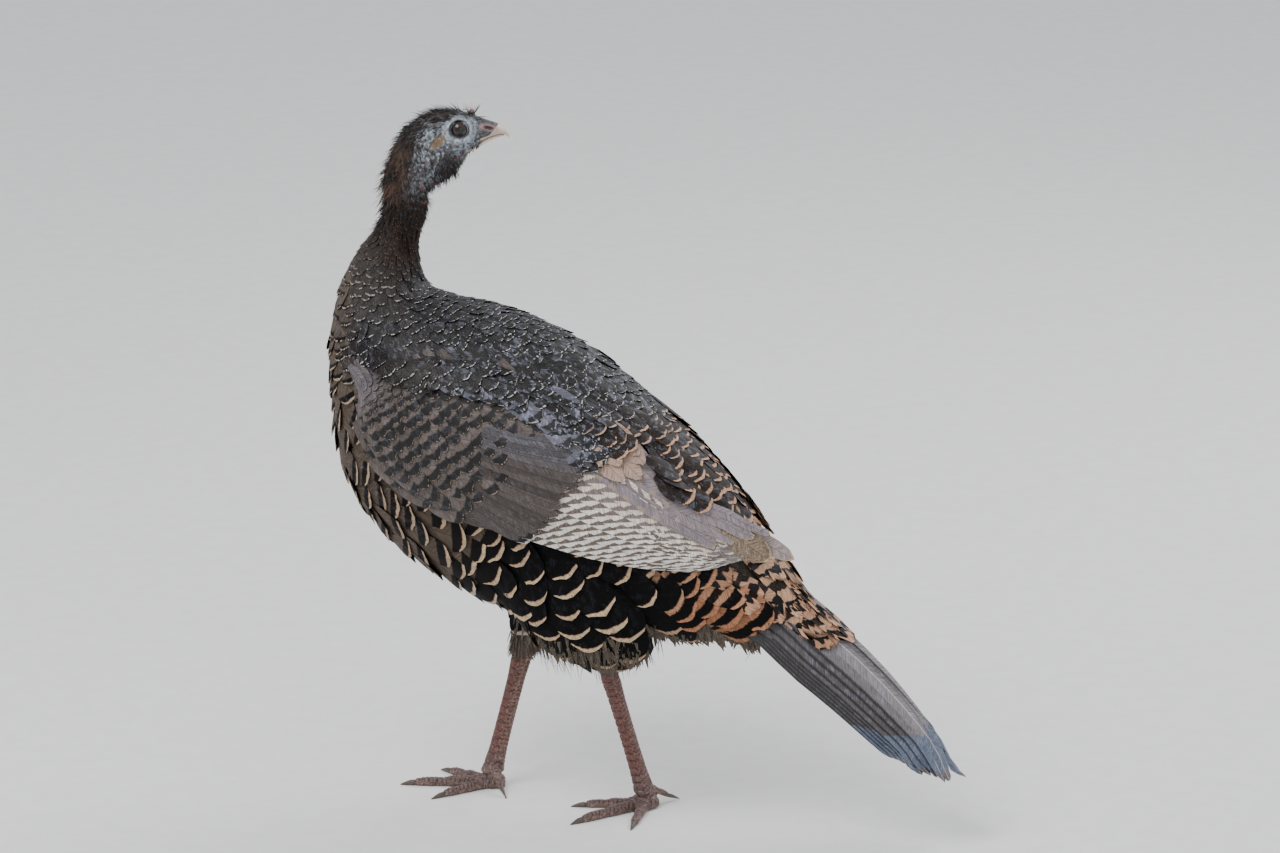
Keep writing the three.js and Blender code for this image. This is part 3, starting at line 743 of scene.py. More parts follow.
class Spine:
    """Nearest distance along the middle line, the line's heading and the angle round it."""

    def __init__(self):
        knots = np.array(SPINE, dtype=float) + ROW_SHIFT[1:]
        reach = np.concatenate([[0], np.cumsum(np.linalg.norm(np.diff(knots, axis=0), axis=1))])
        self.s = np.arange(0, reach[-1], 2.0)
        self.yz = np.stack([np.interp(self.s, reach, knots[:, axis]) for axis in (0, 1)], axis=1)
        for _ in range(30):
            self.yz[1:-1] = (self.yz[:-2] + self.yz[2:]) / 2
        self.heading = unit(np.gradient(self.yz, axis=0))

    def read(self, places):
        gap = np.linalg.norm(places[:, None, 1:] - self.yz[None], axis=2)
        near = gap.argmin(axis=1)
        heading = np.concatenate([np.zeros((len(near), 1)), self.heading[near]], axis=1)
        dorsal = np.stack([np.zeros(len(near)), -heading[:, 2], heading[:, 1]], axis=1)
        off = places - np.concatenate([np.zeros((len(near), 1)), self.yz[near]], axis=1)
        angle = np.arctan2(places[:, 0], (off * dorsal).sum(1))
        return self.s[near], heading, angle


def body_flow(spine, places):
    """The lie of the feathers: along the neck and trunk, and down over flank and thigh."""
    _, heading, _ = spine.read(places)
    local = in_frame(places, BODY_ORIGIN, BODY_AXES)
    t, h = local[:, 0], local[:, 1]
    fall = smooth(20, -70, h - 0.22 * (t - 150)) * smooth(190, 270, t) * smooth(430, 380, t)
    sweep = 0.75 * smooth(-5, -60, h) * smooth(285, 190, t) * smooth(-20, 40, t)
    sweep = sweep * smooth(34, 66, np.abs(local[:, 2]))
    on_thigh = smooth(232, 200, places[:, 2]) * smooth(0.0, 40.0, np.abs(places[:, 0]))
    share = np.maximum(0.62 * fall, 0.9 * on_thigh)[:, None]
    swept = heading * (1 - sweep[:, None]) + np.array([0.0, 1.0, 0.12]) * sweep[:, None]
    return unit(swept * (1 - share) + DOWN * share)


def march(guide, lie, roots, length, rows, inertia=0.45):
    """Paths over the guide from the roots, one for each vane, with their normals."""
    spots, normals = guide.nearest(roots)
    flow = lie(spots)
    direction = along_surface(flow, normals)
    path, lids = [spots], [normals]
    for step in np.diff(rows):
        ahead = path[-1] + direction * (step * length)[:, None]
        spots, normals = guide.nearest(ahead)
        away = np.linalg.norm(spots - ahead, axis=1)
        free = smooth(3.5, 9.0, away)[:, None] * 0.8
        place = spots * (1 - free) + ahead * free
        lid = unit(normals * (1 - free) + lids[-1] * free)
        flow = along_surface(lie(place), lid)
        direction = along_surface(unit(direction * inertia + flow * (1 - inertia)), lid)
        path.append(place)
        lids.append(lid)
    return np.stack(path, axis=1), np.stack(lids, axis=1)


# ------------------------------------------------------------------ body plumage
# Each row: place (along the trunk axis, across it, to the side), length, half width, spacing
# of the rows, squeeze across them, tip band, dark bar, repeat of bars, strengths of bars,
# mottling, and gloss with painted sheen, ground, edge.
TRACTS = {
    "neck_top": ((-61, 143, 20), 15, 1.7, 2.7, 0.8, 0.9, 0, 9, 0, 0.4, 0.0, "slate", "bristle"),
    "neck_middle": ((-34, 108, 28), 18, 2.4, 3.4, 0.8, 1.0, 0, 9, 0, 0.4, 0.0, "slate", "bristle"),
    "neck_base": ((-25, 73, 45), 26, 5.6, 5.6, 0.8, 1.5, 0, 9, 0, 0.2, 0.0, "slate", "smoke"),
    "throat": ((-45, 30, 20), 28, 9.5, 6.8, 0.6, 1.3, 3, 9, 0, 0.2, 0.0, "umber", "buff"),
    "shoulder": ((0, 40, 72), 31, 9.5, 7.0, 0.75, 0.9, 0, 9, 0, 0.1, 0.25, "black", "ash"),
    "collar": ((20, 84, 10), 27, 7.5, 5.8, 0.8, 0.8, 0, 9, 0, 0.1, 0.2, "black", "ash"),
    "mantle": ((70, 106, 40), 30, 8, 6.3, 0.8, 0.9, 0, 9, 0, 0.1, 0.3, "black", "ash"),
    "upper_back": ((128, 126, 60), 36, 10, 7.6, 0.8, 1.0, 0, 9, 0, 0.1, 0.5, "black", "ash"),
    "middle_back": ((194, 149, 20), 38, 10, 8.0, 0.8, 1.1, 0, 9, 0, 0.1, 0.6, "black", "ash"),
    "lower_back": ((264, 148, 60), 42, 11, 8.2, 0.75, 2.0, 0, 9, 0, 0.1, 0.4, "black", "cinnamon"),
    "rump": ((336, 142, 40), 46, 12, 8.4, 0.65, 3.2, 0, 9, 0, 0.1, 0.25, "black", "cinnamon"),
    "rump_end": ((395, 126, 30), 56, 14, 10, 0.62, 4.4, 8, 16, 0.85, 0.1, 0.15, "black", "cinnamon"),
    "tail_covert": ((450, 112, 25), 98, 17, 12, 0.6, 10, 12, 24, 0.85, 0.1, 0.0, "black", "cinnamon"),
    "front": ((-28, -2, 30), 35, 13, 8.6, 0.55, 1.7, 4, 9, 0, 0.2, 0.1, "umber", "buff"),
    "breast_side": ((28, -31, 70), 40, 16, 10, 0.5, 2.8, 6.5, 9, 0, 0.15, 0.1, "umber", "buff"),
    "breast_low": ((74, -82, 70), 44, 18, 11.5, 0.48, 3.6, 7.5, 9, 0, 0.15, 0.1, "umber", "buff"),
    "breast_end": ((150, -117, 40), 48, 19, 13, 0.48, 4.0, 8.5, 9, 0, 0.15, 0.1, "umber", "buff"),
    "flank_front": ((193, -59, 85), 54, 20, 14.5, 0.5, 4.3, 12, 9, 0, 0.1, 0.0, "umber", "cream"),
    "flank": ((269, -41, 85), 58, 20, 15.5, 0.52, 4.1, 60, 9, 0, 0.0, 0.03, "black", "cream"),
    "thigh": ((340, 0, 85), 60, 20, 15.5, 0.52, 4.2, 60, 9, 0, 0.0, 0.03, "black", "cream"),
    "hem": ((384, -32, 70), 58, 20, 15, 0.52, 4.4, 60, 9, 0, 0.0, 0.0, "black", "cream"),
    "belly": ((193, -132, 0), 50, 17, 14, 0.55, 3.0, 8, 9, 0, 0.2, 0.0, "umber", "ash"),
    "vent": ((403, 36, 60), 60, 20, 14, 0.5, 5.0, 9, 15, 0.85, 0.1, 0.0, "black", "copper"),
    "under_tail": ((421, 29, 30), 70, 21, 14.5, 0.5, 5.5, 10, 17, 0.85, 0.1, 0.0, "black", "copper"),
    "under_tail_end": ((470, 55, 20), 78, 20, 14.5, 0.5, 6.0, 10, 17, 0.85, 0.1, 0.0, "black", "copper"),
}


def tract_values(places):
    """Sizes, bands and colours at places on the body, blended between the tracts."""
    local = in_frame(places, BODY_ORIGIN, BODY_AXES)
    local[:, 2] = np.abs(local[:, 2])
    rows = list(TRACTS.values())
    centres = np.array([row[0] for row in rows], dtype=float)
    gap = ((local[:, None] - centres[None]) ** 2).sum(2)
    weight = 1 / (gap + 150) ** 2.5
    weight /= weight.sum(1, keepdims=True)
    numbers = weight @ np.array([row[1:11] for row in rows], dtype=float)
    ground = weight @ np.array([paint(row[11]) for row in rows])
    edge = weight @ np.array([paint(row[12]) for row in rows])
    return numbers, ground, edge


def varied(rng, values, amount):
    return values * rng.uniform(1 - amount, 1 + amount, values.shape[:1] + (1,) * (values.ndim - 1))


def look_of(numbers, ground, edge):
    """The attributes of a set of vanes; numbers are tip, dark, repeat, bars, mottling, gloss."""
    return {"bands": numbers[:, :3], "habit": numbers[:, 3:6], "ground": ground, "edge": edge}


def unwrap(spine, places):
    """A place on the unrolled skin: round the body, then along it."""
    s, _, angle = spine.read(places)
    return np.stack([angle / (2 * math.pi) + 0.5, s / spine.s[-1]], axis=1)


_shared = {}


def shared(name, maker):
    """A guide that several pieces use, made once."""
    if name not in _shared:
        _shared[name] = maker()
    return _shared[name]


BODY_NODES = ("trunk", "neck_lower", "neck_upper", "head", "thigh_left", "thigh_right", "tail")


def body_guide():
    return shared("body", lambda: Guide(BODY_NODES, 4.0, 8))


def wing_cover(side):
    """Outer face of one closed wing over the plane of the trunk."""
    name = "wing_left" if side > 0 else "wing_right"
    out = np.array([float(side), 0.0, 0.0])
    return shared(name, lambda: Field([name], ALONG, ACROSS, out, 200.0, (0, 480), (-110, 190), 4))


def under_wing(places, margin):
    """True where a closed wing covers the place by more than the margin."""
    hidden = np.zeros(len(places), dtype=bool)
    local = in_frame(places, BODY_ORIGIN, BODY_AXES)
    for side in (1, -1):
        cover = wing_cover(side)
        inside = cover.seen.copy()
        for _ in range(int(round(margin / Field.STEP))):
            padded = np.pad(inside, 1)
            inside = (padded[:-2, 1:-1] & padded[2:, 1:-1] & padded[1:-1, :-2] & padded[1:-1, 2:]
                      & inside)
        depth = cover.look(cover.height, local[:, 0], local[:, 1]) - side * local[:, 2]
        covered = cover.look(inside.astype(float), local[:, 0], local[:, 1]) > 0.5
        hidden |= covered & (side * local[:, 2] > 15) & (depth < 60)
    return hidden


CLOAK_NODES = ("trunk", "neck_lower", "neck_upper", "head", "wing_left", "wing_right", "tail")


def cloak_guide():
    """Body, wings and tail as one surface, for the feathers that lie over their joins."""
    return shared("cloak", lambda: Guide(CLOAK_NODES, 4.0, 10))


def wing_drop(side, t):
    """How far a place on a wing has sunk with its tip."""
    share = np.clip((t - WING_START) / (WING_END - WING_START), 0, 1.1)
    return WING_DROP[side] * share ** 1.4


def above_wing(places):
    """Height of places over the upper line of the bare face of the nearer wing."""
    local = in_frame(places, BODY_ORIGIN, BODY_AXES)
    over = np.full(len(places), 99.0)
    for side in (1, -1):
        drop = wing_drop(side, local[:, 0])
        t, h = local[:, 0] + 0.3 * drop, local[:, 1] + drop
        top = np.where(t < 256, rim(COVERT_TOP, t) + 14 - 12 * smooth(110, 50, t),
                       rim(TERTIAL_UPPER, t) + 2)
        beside = (side * local[:, 2] > 28) & (t > 20) & (t < 475)
        over = np.where(beside, np.minimum(over, h - top), over)
    return over


def above_middle(t, h):
    """True over the line that parts the back from breast and flank."""
    return h >= np.minimum(20 + 0.3 * t, 85)


def upper_half(places):
    local = in_frame(places, BODY_ORIGIN, BODY_AXES)
    return above_middle(local[:, 0], local[:, 1])


CANDIDATES = 70000                             # places tried for each half of the body
COAT_TOP, COAT_HEM = 588.0, 168.0              # heights between which body feathers grow


def body_roots(guide, spine, upper, rng):
    """Where the body feathers of the upper or lower half grow."""
    places = guide.sample(CANDIDATES, rng)
    local = in_frame(places, BODY_ORIGIN, BODY_AXES)
    t, h = local[:, 0], local[:, 1]
    top_end = np.where(h > 85, 500.0, 440.0)
    wanted = (places[:, 2] < COAT_TOP) & (places[:, 2] > COAT_HEM) & (t < top_end)
    wanted &= upper_half(places) == upper
    places = places[wanted]
    hidden = above_wing(places) < 0 if upper else under_wing(places, 24.0)
    places = places[~hidden]
    numbers, _, _ = tract_values(places)
    chosen = spread(places, numbers[:, 2], rng, body_flow(spine, places), numbers[:, 3])
    return places[chosen]


# Which vanes belong to a piece, its slot, columns of a vane, fray of its tip.
PLUMAGE_GROUPS = {
    "neck_plumage": (lambda t, h: (h > 84 - 0.7 * t) & (t < 8), "plumage_neck", 5, 0.14),
    "rump_plumage": (lambda t, h: above_middle(t, h) & (t > 400), "plumage_dark", 15, 0.3),
    "back_plumage": (above_middle, "plumage_dark", 7, 0.05),
    "front_plumage": (lambda t, h: t < 235, "plumage_dark", 7, 0.05),
    "flank_plumage": (lambda t, h: t >= 235, "thigh_down", 7, 0.05),
}


def build_body_plumage():
    spine = shared("spine", Spine)
    rng = draws(BODY_DRAWS)
    below = body_roots(body_guide(), spine, False, rng)
    above = body_roots(cloak_guide(), spine, True, rng)
    roots = np.concatenate([below, above])
    on_cloak = np.arange(len(roots)) >= len(below)
    near_wing = smooth(38, 14, above_wing(roots)) * on_cloak
    numbers, ground, edge = tract_values(roots)
    length = varied(rng, numbers[:, 0], 0.12)
    half = varied(rng, numbers[:, 1], 0.1)
    roots = roots - body_flow(spine, roots) * (length * 0.45)[:, None]
    halves = [march(guide, lambda places: body_flow(spine, places), roots[part], length[part], ROWS_BODY)
              for guide, part in ((body_guide(), ~on_cloak), (cloak_guide(), on_cloak))]
    path, normal = (np.concatenate(both) for both in zip(*halves))
    turned = (unit(path[:, 1] - path[:, 0]) * unit(path[:, -1] - path[:, -2])).sum(1)
    risen = ((path[:, -1] - path[:, -2]) * ACROSS).sum(1) / (length * 0.15)
    ahead = in_frame(roots, BODY_ORIGIN, BODY_AXES)[:, 0] < 250
    good = (turned > 0.35) & ((risen < 0.35) | (roots[:, 2] > 430) | ahead)
    roots, path, normal, near_wing = roots[good], path[good], normal[good], near_wing[good]
    numbers, ground, edge, length, half = numbers[good], ground[good], edge[good], length[good], half[good]
    lift = sizes().feather_lift / MM * np.clip(numbers[:, 2] / 13, 0.45, 1.2)
    ramp = -0.62 + 1.0 * ROWS_BODY + 0.12 * rng.normal(size=(len(roots), 1)) * ROWS_BODY ** 2
    path = path + normal * (lift[:, None] * ramp + 4.2 * near_wing[:, None])[..., None]
    values = numbers[:, 4:10].copy()
    values[:, 0] = values[:, 0] * rng.uniform(0.8, 1.25, len(roots))
    glossy = plume_material("back_feather", colours(), 0.5, 0.2)
    matt = plume_material("breast_feather", colours(), 0.6, 0.06)
    local = in_frame(path[:, -1], BODY_ORIGIN, BODY_AXES)
    maps = unwrap(spine, path[:, 0])
    roll = rng.normal(0, 0.09, len(roots))
    ground = varied(rng, ground, 0.22)
    edge = varied(rng, edge, 0.15)
    taken = np.zeros(len(roots), dtype=bool)
    for number, (name, (inside, slot, columns, fray)) in enumerate(PLUMAGE_GROUPS.items()):
        mine = inside(local[:, 0], local[:, 1]) & ~taken
        taken |= mine
        coat = Coat(draws(BODY_VANES + number))
        look = look_of(values[mine], ground[mine], edge[mine])
        coat.lay(path[mine], normal[mine], half[mine], length[mine], ROWS_BODY, look, maps[mine],
                 columns=columns, camber=0.16, ragged=fray, roll=roll[mine], bow=0.3,
                 shape=(0.3, 0.5, 0.74))
        material = matt if name in ("front_plumage", "flank_plumage", "neck_plumage") else glossy
        finish_piece(coat.build(name), material)


# ------------------------------------------------------------------ wings
# Rims of the closed wing as [along, across] on the plane of the trunk, wrist to tip.
WING_LOWER = [(20, -4), (34, -10), (50, -24), (76, -40), (112, -49), (155, -44), (200, -26), (250, -1),
              (305, 24), (355, 52), (400, 84), (425, 108), (436, 126), (470, 150)]
WING_UPPER = [(20, -2), (33, 8), (42, 34), (66, 58), (100, 84), (142, 106), (184, 122), (226, 131),
              (276, 134), (330, 136), (380, 140), (412, 145), (436, 150), (470, 156)]
COVERT_TOP = [(20, -2), (35, 15), (101, 60), (161, 92), (231, 104), (270, 108)]
TERTIAL_LOWER = [(200, 84), (255, 95), (287, 96), (318, 97), (358, 101), (402, 106), (436, 130),
                 (470, 152)]
TERTIAL_UPPER = [(200, 128), (256, 138), (290, 131), (323, 124), (358, 133), (381, 144), (410, 149),
                 (470, 156)]
WING_DROP = {1: 0.0, -1: 38.0}                 # how much lower the tip of each wing hangs
WING_START, WING_END = 34.0, 436.0
COVERT_COUNT = 15
COVERT_FIRST, COVERT_LAST, GREATER_TIP = 46.0, 204.0, 257.0


def rim(line, t):
    """Height of a rim at distances along the trunk."""
    knots = np.array(line, dtype=float)
    return np.interp(t, knots[:, 0], knots[:, 1])


def wing_place(cover, side, t, h, lift):
    """Places on the wing; the far wing hangs lower towards its tip."""
    drop = wing_drop(side, t)
    tuck = 12 * smooth(60, 20, t) + 5 * smooth(10, -6, h - rim(WING_LOWER, t)) + 14 * smooth(385, 460, t)
    lift = lift - tuck
    return cover.place(t - 0.3 * drop, h - drop, lift)


def wing_map(t, h):
    """Places on the unrolled wing: along it and across it."""
    return np.stack([t, h], axis=-1)


class WingBuilder:
    """Lays the rows of one closed wing."""

    def __init__(self, side):
        self.side = side
        self.name = "left" if side > 0 else "right"
        self.cover = wing_cover(side)
        self.coat = Coat(draws(WING_VANES + side))
        self.rng = draws(WING_DRAWS + side)

    def lay(self, t, h, base, ramp, rows, half, length, look, **options):
        """Vanes along [along, across] paths; base and ramp are their heights at root and over it."""
        base, ramp, half, length = (np.broadcast_to(np.asarray(value, dtype=float), (len(t),))
                                    for value in (base, ramp, half, length))
        lift = base[:, None] + ramp[:, None] * rows[None]
        path, normal = wing_place(self.cover, self.side, t, h, lift)
        swing = options.pop("swing", 0.0) * -self.side
        self.coat.lay(path, normal, half, length, rows, look, wing_map(t[:, 0], h[:, 0]),
                      swing=swing, mirror=self.side, **options)

    def look(self, count, ground, edge, tip, dark, repeat, bars, mottle, gloss_and_painted_sheen, vary=0.14):
        """Attributes for a row of like vanes; numbers may be arrays."""
        numbers = np.stack([np.broadcast_to(np.asarray(value, dtype=float), (count,))
                            for value in (tip, dark, repeat, bars, mottle, gloss_and_painted_sheen)], axis=1)
        grounds = varied(self.rng, np.broadcast_to(ground, (count, 3)), vary)
        edges = varied(self.rng, np.broadcast_to(edge, (count, 3)), vary)
        return look_of(numbers, grounds, edges)

    def short_row(self, t, h, length, rise, base, ramp, half, look, **options):
        """Vanes of one length that end at [along, across] places, their roots a little higher."""
        path_t = t[:, None] - length * (1 - ROWS_BODY)
        path_h = h[:, None] + rise * length * (1 - ROWS_BODY)
        self.lay(path_t, path_h, base, ramp, ROWS_BODY, half, length, look, **options)

    def slope(self, t, h):
        """Lie of the coverts: along the lower rim near it, a little downwards above."""
        low, top = rim(WING_LOWER, t), rim(WING_UPPER, t)
        share = smooth(0.0, 0.32, (h - low) / np.maximum(top - low, 20))
        along_rim = np.clip((rim(WING_LOWER, t + 12) - rim(WING_LOWER, t - 12)) / 24, -0.45, 0.5)
        return along_rim * (1 - share) - 0.2 * share

    def coverts(self):
        """Rows of small and middle coverts, each longer than the one before it."""
        growth = np.linspace(0, 1, COVERT_COUNT) ** 1.35
        tips = COVERT_FIRST + (COVERT_LAST - COVERT_FIRST) * growth
        for row, middle in enumerate(tips):
            share = row / (COVERT_COUNT - 1)
            bare = np.diff(tips)[min(row, COVERT_COUNT - 2)]
            half = 4.6 + 5.6 * share
            h = np.arange(rim(WING_LOWER, middle) - 1, rim(COVERT_TOP, middle) + 8, 1.5 * half)
            h = h + (row % 2) * 0.75 * half + self.rng.normal(0, 0.8, len(h))
            t = middle + (0.3 - 0.12 * share) * (h - 40) + self.rng.normal(0, 0.09 * bare, len(h))
            top = rim(COVERT_TOP, t) + 2 + 10 * smooth(60, 120, t)
            keep = (h > rim(WING_LOWER, t) - 2) & (h < top) & (t > 38)
            t, h = t[keep], h[keep]
            if not len(t):
                continue
            length = varied(self.rng, np.full(len(t), 2.5 * bare + 10), 0.1)
            back = length[:, None] * (1 - ROWS_BODY[None])
            lean = self.slope(t, h)[:, None]
            path_t, path_h = t[:, None] - back / np.hypot(1, lean), h[:, None] - lean * back
            # the front rows take part grey-violet: partly painted sheen on the top of the wrist
            grey = smooth(0.45, 0.0, share) * 0.5
            ground = paint("drab") * (1 - grey) + paint("violet") * grey
            look = self.look(len(t), ground, paint("buff") * 0.62, 0.75 + 0.3 * share,
                             7.4 * smooth(0.12, 0.5, share), 9, 0, 0.25, 0.12, 0.3)
            base = -2.6 - 0.2 * np.maximum(h - rim(COVERT_TOP, t), 0)
            over = np.clip(path_h[:, 0] - rim(COVERT_TOP, path_t[:, 0]), 0, 34) * 0.26
            ramp = self.rng.normal(3.6, 0.35, len(t)) + over
            self.lay(path_t, path_h, base - over, ramp, ROWS_BODY,
                     varied(self.rng, np.full(len(t), half), 0.08), length, look, ragged=0.03,
                     camber=0.1, bow=0.4, shape=(0.5, 0.4, 0.72))

    def greater_coverts(self):
        """The long brown row that ends over the secondaries; its upper ones are glossy."""
        h = np.arange(2.0, 124, 8.6)
        count = len(h)
        t = GREATER_TIP - 4 * smooth(40, -5, h) + 3 * np.sin(h / 17) + self.rng.normal(0, 2.2, count)
        length = np.full(count, 105.0)
        start = h * 0.62 + (rim(WING_LOWER, 160) + 4) * 0.38
        share = ROWS_LONG[None]
        path_t = t[:, None] - length[:, None] * (1 - share)
        path_h = start[:, None] + (h - start)[:, None] * share ** 1.2
        high = smooth(86, 104, h)[:, None]
        low = smooth(24, 5, h)[:, None]
        ground = paint("drab") * (0.62 - 0.3 * high) + paint("violet") * 0.3 * high
        edge = paint("ash") * high + paint("buff") * 0.6 * (1 - high - low) + paint("white") * low
        look = self.look(count, ground, edge, 0.9 + 0.5 * high[:, 0] + 1.2 * low[:, 0],
                         7.0 * (high + low)[:, 0], 9, 0, 0.1, 0.1 + 0.1 * high[:, 0], vary=0.3)
        self.lay(path_t, path_h, -1.8 + 0.016 * h, 3.4, ROWS_LONG, 10.5, length, look, ragged=0.03,
                 camber=0.3, bow=0.8, shape=(0.5, 0.35, 0.6), columns=9,
                 roll=np.full(count, 0.12 * self.side))
        rims = np.linspace(70, 190, 9)
        length = 80.0
        path_t = rims[:, None] + length * (share - 0.3)
        path_h = rim(WING_LOWER, path_t) + 6 + 7 * share
        look = self.look(9, paint("drab") * 0.5, paint("buff") * 0.6, 0.8, 0, 9, 0, 0.1, 0.15)
        self.lay(path_t, path_h, -3.2, 2.2, ROWS_LONG, 9.5, length, look, ragged=0.02,
                 shape=(0.5, 0.4, 0.6), columns=9)

    def flight_feathers(self):
        """A stack of barred secondaries, the mauve tertials over them and two worn tips."""
        share = ROWS_LONG[None]
        count = 10
        w = np.arange(count) / count
        tip = 396 + 42 * w ** 0.8
        root = 165.0
        t = root + (tip - root)[:, None] * share
        low, top = rim(WING_LOWER, t), rim(TERTIAL_LOWER, t)
        h = low + w[:, None] * (top - low) + 1.5
        warm = smooth(0.45, 0.95, w)[:, None]
        edge = paint("white") * (1 - warm) + (0.5 * paint("cream") + 0.5 * paint("white")) * warm
        ground = paint("bark") * (1 - warm) + (0.5 * paint("mauve") + 0.4 * paint("bark")) * warm
        look = self.look(count, ground, edge, 1.6, 0, 12.0 + 3 * warm[:, 0], 1.0, 0.2, 0, vary=0.08)
        lean = 0.085 * self.side
        self.lay(t, h, -4.2 + 2.8 * w, 2.6, ROWS_LONG, 13.0, tip - root, look, columns=9,
                 shape=(0.7, 0.2, 0.5), bow=0.8, ragged=0.006, camber=0.02, swing=0.86,
                 roll=np.full(count, lean))
        place = np.array([0.0, 0.28, 0.55, 0.8])
        tip = np.array([392.0, 402, 413, 422])
        root = 222.0
        t = root + (tip - root)[:, None] * share
        low, top = rim(TERTIAL_LOWER, t), rim(TERTIAL_UPPER, t)
        h = low + place[:, None] * (top - low) + 1.0
        half = np.array([12.0, 11.0, 9.0, 6.5])
        look = self.look(4, paint("mauve"), paint("cream") * 0.9, 1.8, 0, 17, 0.6, 0.12, 0.15)
        self.lay(t, h, -1.6 - 4.0 * place, 3.2 + 6.0 * place, ROWS_LONG, half, tip - root,
                 look, columns=9, shape=(0.7, 0.25, 0.55), bow=0.7, ragged=0.012, camber=0.03, swing=0.8,
                 roll=np.full(4, lean))
        for tip, root, base, tint, size in (((452.0, 140.0), (352.0, 118.0), 0.2, "mauve", 10.0),
                                            ((437.0, 126.0), (348.0, 116.0), 2.6, "tan", 19.0)):
            reach = tip[0] - root[0]
            t = root[0] + reach * share
            h = root[1] + (tip[1] - root[1]) * share ** 1.3 + 6 * np.sin(math.pi * share)
            look = self.look(1, paint(tint), paint("cream"), 2.4, 0, 9, 0, 0.85, 0.05)
            self.lay(t, h, base - 4.0, 5.0, ROWS_LONG, size, reach, look, columns=11,
                     shape=(0.4, 0.5, 0.72), bow=1.0, ragged=0.02, camber=0.12)

    def tertial_coverts(self):
        """Short rusty feathers where the tertials come out from under the back."""
        t = np.array([262.0, 274, 268, 285, 280, 297, 250, 290])
        h = np.array([104.0, 114, 124, 106, 128, 116, 112, 126])
        ground = paint("cinnamon") * 0.42 + paint("mauve") * 0.4
        look = self.look(len(t), ground, paint("cream") * 0.8, 1.2, 0, 9, 0, 0.6, 0.05, vary=0.25)
        self.short_row(t, h, 46.0, 0.1, -5.0, 9.0, 10.0, look, ragged=0.06, bow=0.6)

    def glossy_coverts(self):
        """Violet feathers with ink bars between the brown coverts and the tertials."""
        t = np.array([206.0, 214, 219, 228, 234, 238, 248, 254, 257, 262])
        h = np.array([101.0, 110, 119, 98, 108, 118, 93, 103, 113, 122])
        look = self.look(len(t), paint("violet"), paint("ash") * 0.8, 1.2, 6.5, 9, 0, 0.05, 1.0)
        self.short_row(t, h, 44.0, 0.12, -3.0 + 0.03 * (262 - t), 8.0, 10.5, look, ragged=0.05,
                       bow=0.6, camber=0.16)

    def scapulars(self):
        """Broad glossy feathers over the upper rim of the wing."""
        heading = unit(ALONG - 0.24 * ACROSS)
        for row, offset in enumerate((-8.0, 2.0, 12.0, 22.0, 31.0)):
            t = np.arange(100.0 + 8 * (row % 2) + 16 * max(row - 1, 0), 266 - 6 * row, 15)
            share = (t - 50) / 210
            h = rim(COVERT_TOP, t) + offset * (0.8 + 0.3 * share) + self.rng.normal(0, 1.6, len(t))
            t = t + self.rng.normal(0, 3.0, len(t))
            length = 42 + 26 * share
            roots, _ = wing_place(self.cover, self.side, t - length, h + 0.24 * length, np.zeros(len(t)))
            path, normal = march(cloak_guide(), lambda places: np.broadcast_to(heading, places.shape),
                                 roots, length, ROWS_BODY)
            lift = 0.2 + 0.35 * row + 3.4 * ROWS_BODY[None]
            lift = lift + self.rng.normal(0, 0.4, (len(t), 1)) * ROWS_BODY
            deep = 0.22 * row
            ground = paint("violet") * (1 - deep) + paint("black") * deep
            look = self.look(len(t), ground, paint("ash"), 0.7 + 0.6 * share, 7.0, 9, 0, 0.05,
                             0.9 - 0.18 * row)
            self.coat.lay(path + normal * lift[..., None], normal, 11.5 + 6 * share, length, ROWS_BODY,
                          look, wing_map(t - length, h + 0.24 * length), ragged=0.06, camber=0.14,
                          bow=0.45, mirror=self.side, roll=self.rng.normal(0, 0.06, len(t)))

    def core(self):
        """Solid arm and blade under the coverts, from the CAD wing drawn in on all sides."""
        points, faces = voxel_copy([f"wing_{self.name}"], 3.0)
        points = relax(points, faces, 4)
        local = in_frame(points, BODY_ORIGIN, BODY_AXES)
        t, h = local[:, 0], local[:, 1]
        outer = self.cover.look(self.cover.height, t, h)
        depth = outer - self.side * local[:, 2]
        middle = np.array([235.0, 60.0 if self.side > 0 else 45.0])
        t, h = middle[0] + (t - middle[0]) * 0.93, middle[1] + (h - middle[1]) * 0.88
        level = outer - 4.6 - 0.45 * depth
        return BODY_ORIGIN + t[:, None] * ALONG + h[:, None] * ACROSS + (
            self.side * level[:, None] * BODY_AXES[2]), faces


def build_wing(side):
    wing = WingBuilder(side)
    wing.scapulars()
    wing.coverts()
    wing.greater_coverts()
    wing.flight_feathers()
    wing.tertial_coverts()
    wing.glossy_coverts()
    material = plume_material("wing_feather", colours(), 0.5, 0.32)
    feathers = wing.coat.build(f"wing_{wing.name}_feathers")
    finish_piece(feathers, material, [f"wing_{wing.name}"])
    points, faces = wing.core()
    core = link(f"wing_{wing.name}_core", make_mesh(f"wing_{wing.name}_core", points, faces))
    finish_piece(core, gap_shade_material())


def build_wings():
    for side in (1, -1):
        build_wing(side)


def gap_shade_material():
    """Soft base of the feathers, seen only in the gaps: half the down colour mixed with black as painted
    shade.
    """
    f = Finish("under_down_shade")
    fluff = f.noise(f.position(), 900.0, 3.0)
    down_in_painted_shade = tuple(0.5 * c for c in colours().down)
    colour = f.mix(f.step(fluff, 0.3, 0.7), down_in_painted_shade, colours().black)
    return f.close(colour, 0.85, fluff, distance=0.6)


# ------------------------------------------------------------------ tail
TAIL_ROOT, TAIL_TIP = 402.0, 704.0
TAIL_PAIRS = 9
TAIL_FIRST, TAIL_STEP, TAIL_STACK = 15.0, 6.2, 3.4   # down the slope: first shaft, steps, stacked rest
TAIL_EAVE = 30.0                               # beyond this the roof of the tail goes on straight


